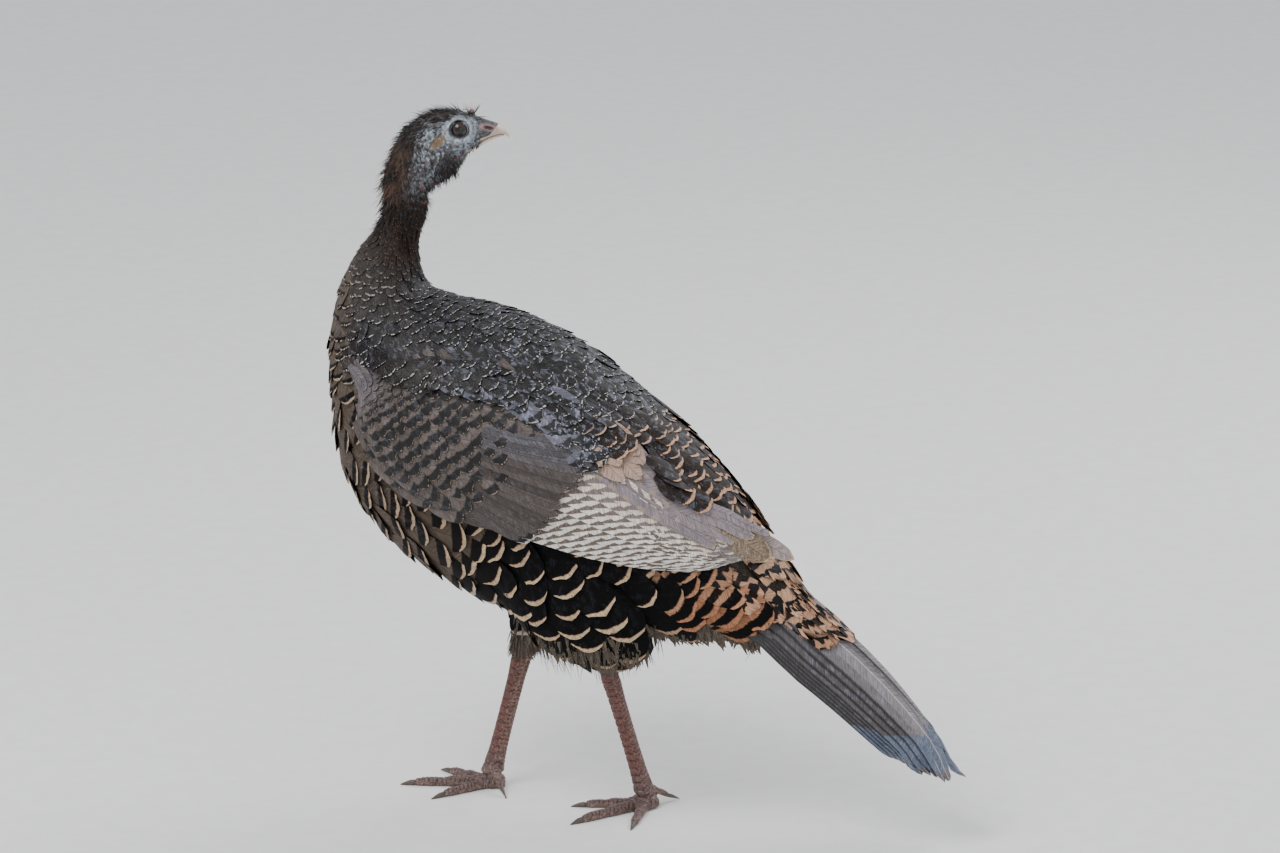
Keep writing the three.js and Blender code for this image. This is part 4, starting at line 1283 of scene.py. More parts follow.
def tail_cover():
    """Upper face of the folded tail over the plane of its length and width."""
    return shared("tail", lambda: Field(["tail"], ALONG, BODY_AXES[2], ACROSS, 260.0, (390, 730),
                                        (-66, 66), 6))


def build_tail():
    """A roof of feathers: a broad middle pair, the others stacked as steps down each side."""
    cover = tail_cover()
    coat = Coat(draws(TAIL_VANES))
    rng = draws(TAIL_DRAWS)
    share = ROWS_LONG[None]
    order = np.arange(TAIL_PAIRS)
    spacing = TAIL_FIRST + TAIL_STEP * np.minimum(order, 4) + TAIL_STACK * np.maximum(order - 4, 0)
    down = spacing[:, None] * (0.82 + 0.18 * share)
    outer = smooth(0.0, 2.0, order)[:, None]
    numbers = np.tile([7.0, 38.0, 8.0, 0.0, 0.65, 0.3], (TAIL_PAIRS, 1))
    # painted shade: the stacked outer feathers grow darker outward, for the shade they lie in under the
    # middle pair
    ground = paint("pewter") * (1 - 0.68 * outer)
    edge = paint("drab") * 1.5 + paint("pewter") * 0.1 * (1 - outer)
    for side in (-1, 1):
        length = TAIL_TIP - TAIL_ROOT - 6.6 * order ** 1.05 + rng.normal(0, 2.0, TAIL_PAIRS)
        t = TAIL_ROOT + length[:, None] * share
        x = side * 0.85 * np.minimum(down, TAIL_EAVE)
        lift = -1.4 + 0.2 * side - 0.5 * order[:, None] * np.ones_like(t)
        path, normal = cover.place(t, x, lift)
        outward = side * unit(np.cross(ALONG, normal))
        path = path + outward * np.maximum(down - TAIL_EAVE, 0)[..., None]
        half = np.where(order == 0, 18.0, 15.5)
        root_map = np.stack([side * down[:, -1], t[:, -1]], 1)
        for part, camber, bow in ((order == 0, 0.2, 0.7), (order > 0, 0.02, 0.9)):
            look = look_of(numbers[part], varied(rng, ground[part], 0.12), varied(rng, edge[part], 0.1))
            coat.lay(path[part], normal[part], half[part], length[part], ROWS_LONG, look, root_map[part],
                     columns=13, shape=(0.75, 0.3, 0.5), bow=bow, ragged=0.014, camber=camber, thick=0.9,
                     roll=0.05 * side * np.sign(order[part]), mirror=side)
    tail = coat.build("tail_feathers")
    material = plume_material("tail_feather", colours(), 0.42, 0.35, tail=True)
    finish_piece(tail, material, ["tail"])


# ------------------------------------------------------------------ skin
TOES = ("middle", "inner", "outer", "hallux")
FLESH = ("trunk", "neck_lower", "neck_upper", "head", "snood", "ear_left", "ear_right",
         "thigh_left", "thigh_right", "shank_left", "shank_right", "foot_left", "foot_right",
         *(f"toe_left_{toe}" for toe in TOES), *(f"toe_right_{toe}" for toe in TOES))
CLAWS = {side: [f"claw_{side}_{toe}" for toe in TOES] for side in ("left", "right")}
ALL_CLAWS = (*CLAWS["left"], *CLAWS["right"])
SKIN_VOXEL = 1.0
CLAW_VOXEL = 0.5
LEG_TOP = 150.0                                # the skin keeps its full detail below this height
HEAD_BASE = 560.0                              # the head is sculpted above this height
SKIN_SHARE = 0.17                              # part of the faces kept when the covered skin is thinned
LID_OPENING = 7.3
NAPE_TOP = 575.0                               # bare skin begins above this height
HOCKS = {"left": (35, 58, 144.3), "right": (-31, -55, 132.7)}
PADS = {"left": (3, 84, 0), "right": (-8, -79, 0)}
FOOT_HEADING = {"left": -33.0, "right": -72.0}
TOE_SWING = (0.0, -38.0, 42.0)                 # middle, inner and outer toe
HALLUX_HEADING = {"left": 146.0, "right": 40.0}
EAR_SLOPE = math.radians(46)
EAR_SIZE = (9.2, 5.0)
EAR_SIDE = 12.0                                # an ear lies at least this far from the middle
SNOOD_AT = (56.6, 29.0)
# Red beads as [forward, up, radius] on both sides of throat and neck.
BEADS = [(12.7, -15.1, 1.7), (8.6, -43.7, 2.0), (22.9, -39.7, 1.7), (43, -13.8, 1.3), (11.3, -58.8, 2.4),
         (17, -50, 1.5), (31, -31, 1.3), (37, -22, 1.2), (15, -66, 1.8), (9, -36, 1.2), (25, -47, 1.4)]


def lattice_noise(points, cell, seed=0.0):
    """Smooth value noise between 0 and 1 on a lattice of the given cell size."""
    place = points / cell + seed * 17.3
    base = np.floor(place)
    part = place - base
    part = part * part * (3 - 2 * part)
    total = np.zeros(len(points))
    for corner in range(8):
        offset = np.array([corner & 1, corner >> 1 & 1, corner >> 2 & 1])
        key = (base + offset) @ np.array([12.9898, 78.233, 37.719])
        value = np.abs(np.sin(key) * 43758.5453) % 1.0
        weight = np.where(offset, part, 1 - part).prod(axis=1)
        total += weight * value
    return total


def cad_centre(node):
    """Middle of a CAD node in millimetres."""
    low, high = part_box(node)
    return np.array((low + high) / 2) / MM


def head_frame(points):
    """Forward, up and lateral coordinates from the top of the neck; lateral grows to her right."""
    local = in_frame(points, HEAD_ORIGIN, (HEAD_FORWARD, UP, HEAD_LATERAL))
    return local[:, 0], local[:, 1], local[:, 2]


def coat_depth(points):
    """How far the skin lies inside the outline of the feathered bird."""
    z = points[:, 2]
    neck = smooth(430, 520, z)
    depth = sizes().body_coat / MM * (1 - neck) + sizes().neck_coat / MM * neck
    depth = depth * smooth(NAPE_TOP + 25, NAPE_TOP - 30, z)
    return depth * (0.3 * smooth(132, 150, z) + 0.7 * smooth(165, 205, z))


def thinned(points, faces, covered):
    """The mesh with its covered part reduced to large triangles."""
    source = link("thin_source", make_mesh("thin_source", points, faces))
    group = source.vertex_groups.new(name="covered")
    group.add(np.flatnonzero(covered).tolist(), 1.0, "ADD")
    thin = source.modifiers.new("thin", "DECIMATE")
    thin.ratio = SKIN_SHARE
    thin.vertex_group = "covered"
    return modified_arrays(source, mesh_triangles)


def eye_frame(points):
    """Distance from the nearer eye's axis, angle round it, side, and middle of that eye."""
    f, v, s = head_frame(points)
    side = np.where(s > 0, 1.0, -1.0)
    right, left = (np.ravel(head_frame(cad_centre(eye)[None])) for eye in ("eye_right", "eye_left"))
    eye = np.where((side > 0)[:, None], right, left)
    df, dv = f - eye[:, 0], v - eye[:, 1]
    return np.hypot(df * 0.95, dv * 1.04), np.arctan2(dv, df), side, eye


def ear_ring(points):
    """1 on the rim of the ear opening and less inside, and the distance across it."""
    f, v, _ = head_frame(points)
    right = np.ravel(head_frame(cad_centre("ear_right")[None]))
    df, dv = f - right[0], v - right[1]
    along = df * math.cos(EAR_SLOPE) + dv * math.sin(EAR_SLOPE)
    across = -df * math.sin(EAR_SLOPE) + dv * math.cos(EAR_SLOPE)
    return np.hypot(along / EAR_SIZE[0], across / EAR_SIZE[1]), across


def in_ear(places):
    """True inside the opening of an ear."""
    ring, _ = ear_ring(places)
    return (ring < 0.95) & (np.abs(head_frame(places)[2]) > EAR_SIDE)


def gape_distance(f, v):
    """Distance from the line of the mouth corner."""
    start, end = np.array([54.0, -5.5]), np.array([64.5, 1.2])
    line = end - start
    share = np.clip(((f - start[0]) * line[0] + (v - start[1]) * line[1]) / (line @ line), 0, 1)
    return np.hypot(f - start[0] - share * line[0], v - start[1] - share * line[1])


def sculpt_head(points, faces):
    """Lids, brow, mouth corner, ear hollow, throat folds and pebbled skin."""
    f, v, s = head_frame(points)
    on_head = (points[:, 2] > HEAD_BASE) & (f > -60)
    radius = sizes().eye_radius / MM
    rho, turn, side, eye = eye_frame(points)
    normals = vertex_normals(points, faces)
    push = np.zeros(len(points))
    # orbital fold, groove and the hollow in front of the eye
    push += 1.1 * bump(rho, 10.6, 1.2) * (0.75 + 0.35 * np.sin(turn))
    push -= 0.8 * bump(rho, 8.6, 0.6)
    brow = bump(v - eye[:, 1], 11.5, 2.6) * smooth(30, 40, f) * smooth(64, 56, f)
    push += 0.9 * brow * smooth(8, 12, np.abs(s))
    lores = blob((f, v), (57, 10), (3.5, 6))
    push -= 0.9 * lores
    # mouth corner
    gap = gape_distance(f, v)
    push -= 1.3 * bump(gap, 0, 0.75) * smooth(5, 8, np.abs(s))
    push += 0.6 * bump(gap, 2.0, 0.9) * smooth(5, 8, np.abs(s))
    # ear hollow with a raised rim
    ring, _ = ear_ring(points)
    near_side = np.abs(s) > EAR_SIDE
    push -= 1.5 * smooth(1.0, 0.7, ring) * near_side
    push += 0.8 * bump(ring, 1.18, 0.16) * near_side
    # folds across the neck and throat, and pebbles everywhere
    level = v + 0.35 * f + 3 * lattice_noise(points, 9.0, 2)
    folds = np.cos(level * 2 * math.pi / 7.5) * smooth(-12, -30, v)
    push += 0.45 * folds
    pebble = lattice_noise(points, 2.6, 1) + 0.6 * lattice_noise(points, 1.5, 3) - 0.8
    away = smooth(11.5, 14, rho)
    push += 0.95 * pebble * away * (0.5 + 0.5 * smooth(20, -20, v)) * (1 - 0.7 * smooth(50, 62, f))
    push += 1.2 * bead_share(points)
    push *= on_head * smooth(HEAD_BASE, HEAD_BASE + 15, points[:, 2])
    points = points + normals * push[:, None]
    # eyelids hug the ball, and the skin inside the opening sinks behind it
    ball = np.sqrt(np.maximum(radius ** 2 - np.minimum(rho, radius) ** 2, 0.0))
    lid = np.abs(eye[:, 2]) + ball + 0.5 * bump(rho, 7.7, 0.5)
    sunk = np.abs(eye[:, 2]) + ball - 1.6
    target = np.where(rho < LID_OPENING, sunk, lid)
    share = smooth(9.6, 7.6, rho) * (np.abs(s) > 8) * on_head
    lateral = np.abs(s) * (1 - share) + target * share
    return points + HEAD_LATERAL * ((lateral - np.abs(s)) * side)[:, None]


def bead_share(points):
    """1 in the middle of a red bead, fading to 0 round it."""
    f, v, s = head_frame(points)
    share = np.zeros(len(points))
    for ahead, up, size in BEADS:
        gap = np.hypot(f - ahead, v - up) * (0.8 + 0.5 * lattice_noise(points, 2.0, 8))
        share = np.maximum(share, smooth(1.1, 0.5, gap / size))
    return share * smooth(4, 8, np.abs(s))


def leg_frames():
    """Axis of each shank and toe: start, heading, length, length of a plate, and its front."""
    axes = []
    for side in ("left", "right"):
        top = np.array(HOCKS[side]) + ROW_SHIFT
        pad = np.array(PADS[side]) + ROW_SHIFT + [0, 0, 9.0]
        ahead = math.radians(FOOT_HEADING[side])
        front = np.array([math.cos(ahead), math.sin(ahead), 0.0])
        axes.append((top, unit(pad - top), np.linalg.norm(pad - top), 8.0, front))
        mirror = 1 if side == "left" else -1
        for swing in TOE_SWING:
            heading = math.radians(FOOT_HEADING[side] + mirror * swing)
            along = np.array([math.cos(heading), math.sin(heading), 0.0])
            axes.append((pad - [0, 0, 4.0], along, 64.0, 4.4, UP))
        heading = math.radians(HALLUX_HEADING[side])
        along = np.array([math.cos(heading), math.sin(heading), -0.3])
        axes.append((pad + [0, 0, 14.0], unit(along), 28.0, 3.4, UP))
    return axes


def scutes(points):
    """Plates of the bare legs: 0 in a groove to 1 on a plate, and the share of the front."""
    best = np.full(len(points), 1e9)
    plate = np.ones(len(points))
    facing = np.zeros(len(points))
    for start, along, length, size, front in leg_frames():
        off = points - start
        reach = np.clip(off @ along, 0, length)
        radial = off - reach[:, None] * along
        gap = np.linalg.norm(radial, axis=1)
        across = np.cross(along, front)
        turn = np.arctan2(radial @ across, radial @ front)
        row = np.where(np.abs(turn) < 1.25, np.where(turn > 0, 0.5, 0.0), 0.25) * (size > 5)
        fine = np.where(np.abs(turn) < 1.5, 1.0, 1.9)
        wave = np.cos(2 * math.pi * ((off @ along) / size * fine + row + 0.12 * np.cos(turn * 2)))
        ring_groove = smooth(0.66, 0.96, wave)
        seam = bump(gap * np.sin(np.abs(turn)), 0, 0.6) * (size > 5) * (np.cos(turn) > 0)
        side_seam = bump((np.abs(turn) - 1.35) * gap, 0, 0.7)
        value = 1 - np.clip(ring_groove + 0.8 * seam + 0.6 * side_seam, 0, 1)
        closer = gap < best
        best = np.where(closer, gap, best)
        plate = np.where(closer, value, plate)
        facing = np.where(closer, np.cos(turn), facing)
    return plate, facing


def hock_height(points):
    """Height of the hock on each place's side of the body."""
    return np.where(points[:, 0] > 0, HOCKS["left"][2], HOCKS["right"][2])


def bare_leg(points):
    """1 on the bare shank and foot, 0 on the feathered body."""
    limit = hock_height(points)
    return smooth(limit + 6, limit - 6, points[:, 2])


def skin_tints(points, plate, facing):
    """Colours of the bare skin from the palette, by zone."""
    f, v, s = head_frame(points)
    rho = eye_frame(points)[0]
    # skin under the coat: the down's own colour at half strength, darkened as painted shade for the gaps
    # between feathers
    tint = np.tile(paint("down") * 0.5, (len(points), 1))

    def blend(name, share):
        nonlocal tint
        tint = tint * (1 - share[:, None]) + paint(name) * share[:, None]

    head = smooth(558, 574, points[:, 2])
    patch = lattice_noise(points, 6.0, 4)
    fine = lattice_noise(points, 2.2, 6)
    tiny = lattice_noise(points, 1.1, 7)
    blend("skin_grey", head)
    pale = 0.55 * patch + 0.3 * fine + 0.15 * tiny
    blend("skin_blue", head * smooth(0.42, 0.62, pale) * smooth(-60, -20, v) * 0.85)
    blend("skin_dark_and_crease_shade", head * smooth(0.52, 0.36, 0.5 * fine + 0.5 * tiny) * 0.78)
    blend("skin_pale_and_highlight", head * smooth(0.60, 0.74, 0.4 * fine + 0.6 * tiny) * smooth(-45, -5, v) * 0.8)
    back = smooth(16, -6, f - 0.25 * (v - 10)) * smooth(-70, -50, v)
    crown = smooth(19, 25, v) * smooth(60, 52, f)
    blend("skin_brown", head * np.maximum(back, crown) * smooth(0.2, 0.5, fine + 0.25))
    blend("skin_brown", head * smooth(-40, -62, v) * 0.8)
    throat = blob((f, v), (36, -24), (13, 12))
    blend("skin_dark_and_crease_shade", head * np.clip(throat * 1.3, 0, 0.85))
    blend("skin_dark_and_crease_shade", head * smooth(52, 59, f) * smooth(3, 9, v) * 0.6 * smooth(0.3, 0.6, fine + 0.1))
    # painted highlight: pale rings on the raised fold round the eye and just past it
    eye_fold_highlight = bump(rho, 10.6, 1.4) + 0.5 * bump(rho, 14.0, 2.0)
    blend("skin_pale_and_highlight", head * np.clip(eye_fold_highlight * (0.6 + 0.5 * fine), 0, 0.9))
    blend("skin_dark_and_crease_shade", head * smooth(8.6, 8.1, rho) * 0.92)
    blend("skin_pale_and_highlight", head * bump(rho, 7.75, 0.3) * 0.5)
    gap = gape_distance(f, v)
    side_face = smooth(5, 8, np.abs(s))
    lip = bump(gap, 2.4, 1.6) * smooth(2, -2, v - 0.62 * (f - 60))
    blend("bill_ivory", head * lip * 0.6 * side_face)
    # painted shade: near-black along the cleft of the mouth
    blend("cleft_shade", head * bump(gap, 0, 0.8) * side_face)
    ring, across = ear_ring(points)
    ear = smooth(1.05, 0.85, ring) * (np.abs(s) > EAR_SIDE) * head
    blend("ear_tan", ear)
    # painted shade: a dark slit across the ear opening
    blend("cleft_shade", ear * bump(across, 3.2, 0.9) * 0.8)
    blend("bead_red", head * bead_share(points) * 0.92)
    from_snood = np.hypot(f - SNOOD_AT[0], s)
    blend("snood_pink", head * (smooth(4.5, 3.0, from_snood) * smooth(27, 30, v)))
    blend("skin_dark_and_crease_shade", head * bump(from_snood, 4.6, 1.2) * smooth(22, 26, v) * 0.8)
    leg = bare_leg(points)
    blend("leg_red", leg)
    low = smooth(52, 14, points[:, 2])
    blend("toe_mauve", leg * low * 0.8)
    blend("leg_edge", leg * smooth(0.3, -0.5, facing) * (0.25 + 0.3 * patch))
    blend("leg_edge", leg * bump(plate, 0.6, 0.2) * 0.45)
    # painted shade: darker in the grooves between the plates
    blend("leg_groove_shade_and_mottle", leg * smooth(0.5, 0.05, plate) * 0.85)
    blend("leg_groove_shade_and_mottle", leg * smooth(0.4, 0.2, fine) * 0.25)
    return tint


def skin_arrays():
    """The whole skin in millimetres: smooth under the coat, sculpted where it is bare."""
    points, faces = voxel_copy(FLESH + ALL_CLAWS, SKIN_VOXEL)
    bare = (points[:, 2] > NAPE_TOP - 15) | (points[:, 2] < LEG_TOP)
    points = relax(points, faces, 6, np.where(bare, 0.35, 0.6))
    points = relax(points, faces, 10, np.where(bare, 0.0, 0.6))
    points = points - vertex_normals(points, faces) * coat_depth(points)[:, None]
    points = relax(points, faces, 8, np.where(bare, 0.0, 0.5))
    points, faces = thinned(points, faces, ~bare)
    points = sculpt_head(points, faces)
    plate, facing = scutes(points)
    leg = bare_leg(points)
    claws, claw_faces = cad_arrays(ALL_CLAWS)
    claw_tree = BVHTree.FromPolygons(claws.tolist(), claw_faces.tolist())
    low = np.flatnonzero(points[:, 2] < 30)
    away = np.array([claw_tree.find_nearest(place)[3] for place in points[low].tolist()])
    under = np.zeros(len(points))
    under[low] = smooth(1.0, 0.2, away)
    grain = lattice_noise(points, 1.8, 9) - 0.5
    push = leg * (0.85 * (plate - 1) + 0.2 * grain) * (1 - under) - 1.1 * under
    points = points + vertex_normals(points, faces) * push[:, None]
    points[:, 2] = np.maximum(points[:, 2], 0.0)
    return points, faces, plate, facing


def skin_shape():
    return shared("skin", skin_arrays)


def skin_material():
    """Patchy bare skin: fine wrinkles with painted shade along their creases, and a slightly moist low
    roughness.
    """
    f = Finish("bare_skin")
    tint = f.attribute("tint", "Color")
    place = f.position()
    coarse = f.noise(place, 420.0, 3.0)
    fine = f.noise(place, 1500.0, 3.0)
    value = f.add(f.step(coarse, 0.3, 0.72, 0.54, 1.32), f.step(fine, 0.3, 0.7, -0.14, 0.14))
    colour = f.node("ShaderNodeHueSaturation", {"Value": value, "Color": tint})
    wrinkle = f.node("ShaderNodeTexVoronoi", {"Vector": place, "Scale": 620.0}, feature="DISTANCE_TO_EDGE")
    creases = f.step(wrinkle, 0.0, 0.12)
    # painted shade: the skin darkens along the crease lines of the wrinkles
    colour = f.mix(f.mul(f.rest(creases), 0.4), colour, colours().skin_dark_and_crease_shade)
    height = f.add(f.mul(creases, 0.7), f.mul(fine, 0.5))
    rough = f.step(coarse, 0.3, 0.7, 0.62, 0.46)
    return f.close(colour, rough, height, distance=0.35, strength=0.7)


def build_skin():
    points, faces, plate, facing = skin_shape()
    mesh = make_mesh("skin", points, faces)
    point_data(mesh, "tint", skin_tints(points, plate, facing), "FLOAT_COLOR")
    skin = link("skin", mesh)
    finish_piece(skin, skin_material(), FLESH)


# ------------------------------------------------------------------ eyes, bill and claws
def ring_faces(rings, count):
    """Triangles of a closed skin over rings of points, with a fan at each end."""
    faces = []
    for r in range(rings - 1):
        for k in range(count):
            a, b = r * count + k, r * count + (k + 1) % count
            faces += [(a, b, b + count), (a, b + count, a + count)]
    first, last = rings * count, rings * count + 1
    for k in range(count):
        after = (k + 1) % count
        faces += [(first, after, k), (last, (rings - 1) * count + k, (rings - 1) * count + after)]
    return np.array(faces)


def closed_loft(rings):
    """Points and triangles of a loft through an array of rings."""
    count = rings.shape[1]
    ends = np.stack([rings[0].mean(0), rings[-1].mean(0)])
    points = np.concatenate([rings.reshape(-1, 3), ends])
    faces = ring_faces(len(rings), count)
    corner = points[faces]
    volume = (corner[:, 0] * np.cross(corner[:, 1], corner[:, 2])).sum()
    return points, faces if volume > 0 else faces[:, ::-1]


def build_eyes():
    """Both eyeballs: a brown iris and black pupil under a slightly raised cornea."""
    radius = sizes().eye_radius / MM
    f = Finish("eye")
    tilt = f.attribute("iris", "Fac")
    rays = f.noise(f.position(), 1400.0, 3.0)
    iris = f.mix(f.step(rays, 0.35, 0.7), (0.020, 0.009, 0.005), (0.046, 0.021, 0.011))
    iris = f.mix(f.step(tilt, 0.74, 0.92), iris, (0.006, 0.004, 0.004))
    colour = f.mix(f.step(tilt, 0.47, 0.51), (0.002, 0.002, 0.002), iris)
    material = f.close(colour, 0.22, Specular_IOR_Level=0.25, Coat_Weight=0.55, Coat_Roughness=0.04)
    for name in ("right", "left"):
        centre = cad_centre(f"eye_{name}")
        out = HEAD_LATERAL if name == "right" else -HEAD_LATERAL
        tilts = np.linspace(0.02, math.pi - 0.02, 40)
        turns = np.linspace(0, 2 * math.pi, 48, endpoint=False)
        bulge = radius * (1 + 0.035 * smooth(0.8, 0.0, tilts))
        rings = centre + bulge[:, None, None] * (
            np.cos(tilts)[:, None, None] * out
            + np.sin(tilts)[:, None, None] * (np.cos(turns)[:, None] * HEAD_FORWARD
                                              + np.sin(turns)[:, None] * UP))
        points, faces = closed_loft(rings)
        mesh = make_mesh(f"eye_{name}_ball", points, faces)
        point_data(mesh, "iris", np.concatenate([np.repeat(tilts, 48), [0.0, math.pi]]), "FLOAT")
        finish_piece(link(f"eye_{name}_ball", mesh), material, [f"eye_{name}"])


# Rows of [forward, up] on the ridge, [forward, up] on the cutting edge and half width.
BILL_UPPER = [((62.5, 23.6), (62.5, 0.4), 10.6), ((66, 22.4), (66, 2.4), 9.8),
              ((70, 21.2), (70, 4.0), 8.9), ((75.5, 19.4), (75.5, 6.2), 7.9),
              ((81.3, 17.5), (81, 7.9), 6.6), ((86.5, 14), (86.2, 7.4), 4.7),
              ((89.9, 9.9), (89, 6.0), 2.7), ((91.9, 5.4), (90.9, 4.2), 1.0),
              ((92.2, 4.2), (91.6, 3.4), 0.4)]
BILL_LOWER = [((60.0, -2.4), (60.0, -8.0), 8.6), ((64.2, 0.2), (64.2, -4.6), 8.6),
              ((69.5, 2.8), (69.5, -1.2), 7.8), ((75.5, 5.3), (75.5, 1.7), 6.3),
              ((81.5, 7.2), (81.5, 4.3), 4.3), ((86.2, 6.9), (86.2, 5.2), 2.0),
              ((87.2, 6.6), (87.0, 5.6), 0.8)]
NOSTRIL = (72.6, 14.6)
NOSTRIL_SIZE = (5.2, 1.5)
NOSTRIL_SLOPE = math.radians(-14)


def bill_rings(rows, count=40, steps=46):
    """Smooth rings through the rows of a mandible, as forward, up and lateral."""
    table = np.array([[*a, *b, w] for a, b, w in rows])
    reach = np.linspace(0, len(rows) - 1, steps)
    whole = np.arange(len(rows))
    values = np.stack([np.interp(reach, whole, column) for column in table.T], axis=1)
    for _ in range(6):
        values[1:-1] = (values[:-2] + 2 * values[1:-1] + values[2:]) / 4
    turn = np.linspace(0, 2 * math.pi, count, endpoint=False) + 0.04
    c, s = np.cos(turn), np.sin(turn)
    c = np.sign(c) * np.abs(c) ** 0.9
    middle, half = (values[:, :2] + values[:, 2:4]) / 2, (values[:, :2] - values[:, 2:4]) / 2
    ring = middle[:, None] + half[:, None] * s[None, :, None]
    lateral = values[:, 4][:, None] * c * (1 - 0.22 * np.maximum(s, 0) ** 2)
    return np.concatenate([ring, lateral[..., None]], axis=2)


def from_head(local):
    level = HEAD_ORIGIN + local[..., 0:1] * HEAD_FORWARD
    return level + local[..., 1:2] * UP + local[..., 2:3] * HEAD_LATERAL


def build_bill():
    """Both mandibles: ivory horn over a grey cere with slit nostrils."""
    shades = colours()
    f = Finish("bill_horn")
    ivory_share, slit, rim_share = f.parts(f.attribute("bill"))
    place = f.position()
    cloud = f.noise(place, 500.0, 3.0)
    fine = f.noise(f.vector(f.mul(ivory_share, 30.0), slit, rim_share), 4.0, 2.0)
    horn = f.mix(f.step(cloud, 0.35, 0.7), shades.bill_ivory, tuple(0.8 * c for c in shades.bill_ivory))
    skin = f.mix(f.step(cloud, 0.35, 0.65), shades.skin_dark_and_crease_shade, shades.skin_grey)
    colour = f.mix(f.step(ivory_share, 0.3, 0.7), skin, horn)
    colour = f.mix(f.mul(rim_share, 0.7), colour, shades.snood_pink)
    # painted shade: the nostril slit is painted near-black
    colour = f.mix(f.mul(slit, 0.95), colour, shades.cleft_shade)
    rough = f.step(ivory_share, 0.3, 0.7, 0.55, 0.32)
    material = f.close(colour, rough, f.add(cloud, f.mul(fine, 0.2)), distance=0.2, strength=0.4)
    for name, rows in (("bill_upper", BILL_UPPER), ("bill_lower", BILL_LOWER)):
        local = bill_rings(rows)
        fwd, up = local[..., 0], local[..., 1]
        df, dv = fwd - NOSTRIL[0], up - NOSTRIL[1]
        a = df * math.cos(NOSTRIL_SLOPE) + dv * math.sin(NOSTRIL_SLOPE)
        b = -df * math.sin(NOSTRIL_SLOPE) + dv * math.cos(NOSTRIL_SLOPE)
        ring = np.hypot(a / NOSTRIL_SIZE[0], b / NOSTRIL_SIZE[1])
        slit = smooth(1.15, 0.6, ring)
        rim_band = bump(ring, 1.5, 0.45)
        if name == "bill_lower":
            slit, rim_band = 0 * slit, 0 * rim_band
        local[..., 2] *= 1 - 0.26 * slit + 0.05 * rim_band
        ivory = smooth(-2.0, 2.5, (fwd - 75) - 0.85 * (up - 10))
        if name == "bill_lower":
            ivory = smooth(60, 66, fwd)
        else:
            ivory = np.maximum(ivory, smooth(4.2, 2.6, up - 1.2 - 0.33 * (fwd - 66)))
        points, faces = closed_loft(from_head(local))
        mesh = make_mesh(name + "_horn", points, faces)
        data = np.stack([ivory, slit, rim_band], axis=-1).reshape(-1, 3)
        point_data(mesh, "bill", np.concatenate([data, data[:1], data[-1:]]), "FLOAT_VECTOR")
        finish_piece(link(name + "_horn", mesh), material, [name])


def build_claws():
    """Blunt curved claws, smoothed from the solids of each foot."""
    f = Finish("claw_horn")
    cloud = f.noise(f.position(), 700.0, 3.0)
    colour = f.mix(f.step(cloud, 0.3, 0.7), (0.050, 0.038, 0.032), (0.12, 0.092, 0.075))
    material = f.close(colour, 0.38, cloud, distance=0.2, strength=0.4)
    for side, nodes in CLAWS.items():
        points, faces = voxel_copy(nodes, CLAW_VOXEL)
        points = relax(points, faces, 6, 0.5)
        mesh = make_mesh(f"claws_{side}", points, faces)
        finish_piece(link(f"claws_{side}", mesh), material, nodes)


# ------------------------------------------------------------------ bristles and down
BRISTLE_TRIES, EAR_TRIES, DOWN_TRIES, SKIRT_TRIES = 90000, 60000, 60000, 16000
BRISTLE_HEM = 556.0                            # bristles begin above this height
BRISTLE_GAP, EAR_GAP, SKIRT_GAP = 1.15, 0.7, 3.2
SNOOD_HAIRS = 34


def bare_guide():
    """Guide over the bare and downy parts of the finished skin."""
    def make():
        points, faces, _, _ = skin_shape()
        keep = (points[faces][:, :, 2] > 545).any(axis=1) | (points[faces][:, :, 2] < 235).any(axis=1)
        faces = faces[keep]
        used, numbers = np.unique(faces, return_inverse=True)
        guide = Guide.__new__(Guide)
        guide.adopt(points[used], numbers.reshape(faces.shape))
        return guide
    return shared("bare", make)


def head_lie(places, normals):
    """Bristles point back over the crown and down the neck."""
    f, v, _ = head_frame(places)
    back = -HEAD_FORWARD * smooth(-5, 15, v)[:, None] * smooth(62, 40, f)[:, None] * 1.2
    flow = back + DOWN * (1.1 - 0.5 * smooth(5, 25, v))[:, None]
    return along_surface(flow, normals)


def tuft_look(count, tip, mottle, ground, edge, rng=None, vary=(0.0, 0.0)):
    """Attributes of plain tufts; their two colours vary when a generator is given."""
    ground, edge = np.broadcast_to(ground, (count, 3)), np.broadcast_to(edge, (count, 3))
    if rng is not None:
        ground = varied(rng, ground, vary[0])
        edge = varied(rng, edge, vary[1])
    return look_of(np.tile([tip, 0, 9, 0, mottle, 0.0], (count, 1)), ground, edge)


def straight_tufts(coat, roots, normals, lie, length, half, stand, look, rng, stray=0.22):
    """Thin tapering hairs from roots, leaning up from the skin by stand (a slope)."""
    rows = np.array([0.0, 0.45, 0.8, 1.0])
    side = np.cross(lie, normals)
    lie = unit(lie + side * rng.normal(0, stray, (len(roots), 1)))
    reach = rows[None] * length[:, None]
    rise = stand[:, None] * reach * (1 - 0.25 * rows[None])
    path = roots[:, None] + lie[:, None] * reach[..., None] + normals[:, None] * (rise - 0.25)[..., None]
    normal = np.repeat(normals[:, None], len(rows), axis=1)
    coat.lay(path, normal, half, length, rows, look, unwrap(shared("spine", Spine), roots), columns=3,
             shape=(0.9, 0.2, 0.15), bow=0.0, camber=0.0, ragged=0.0, thick=0.25)


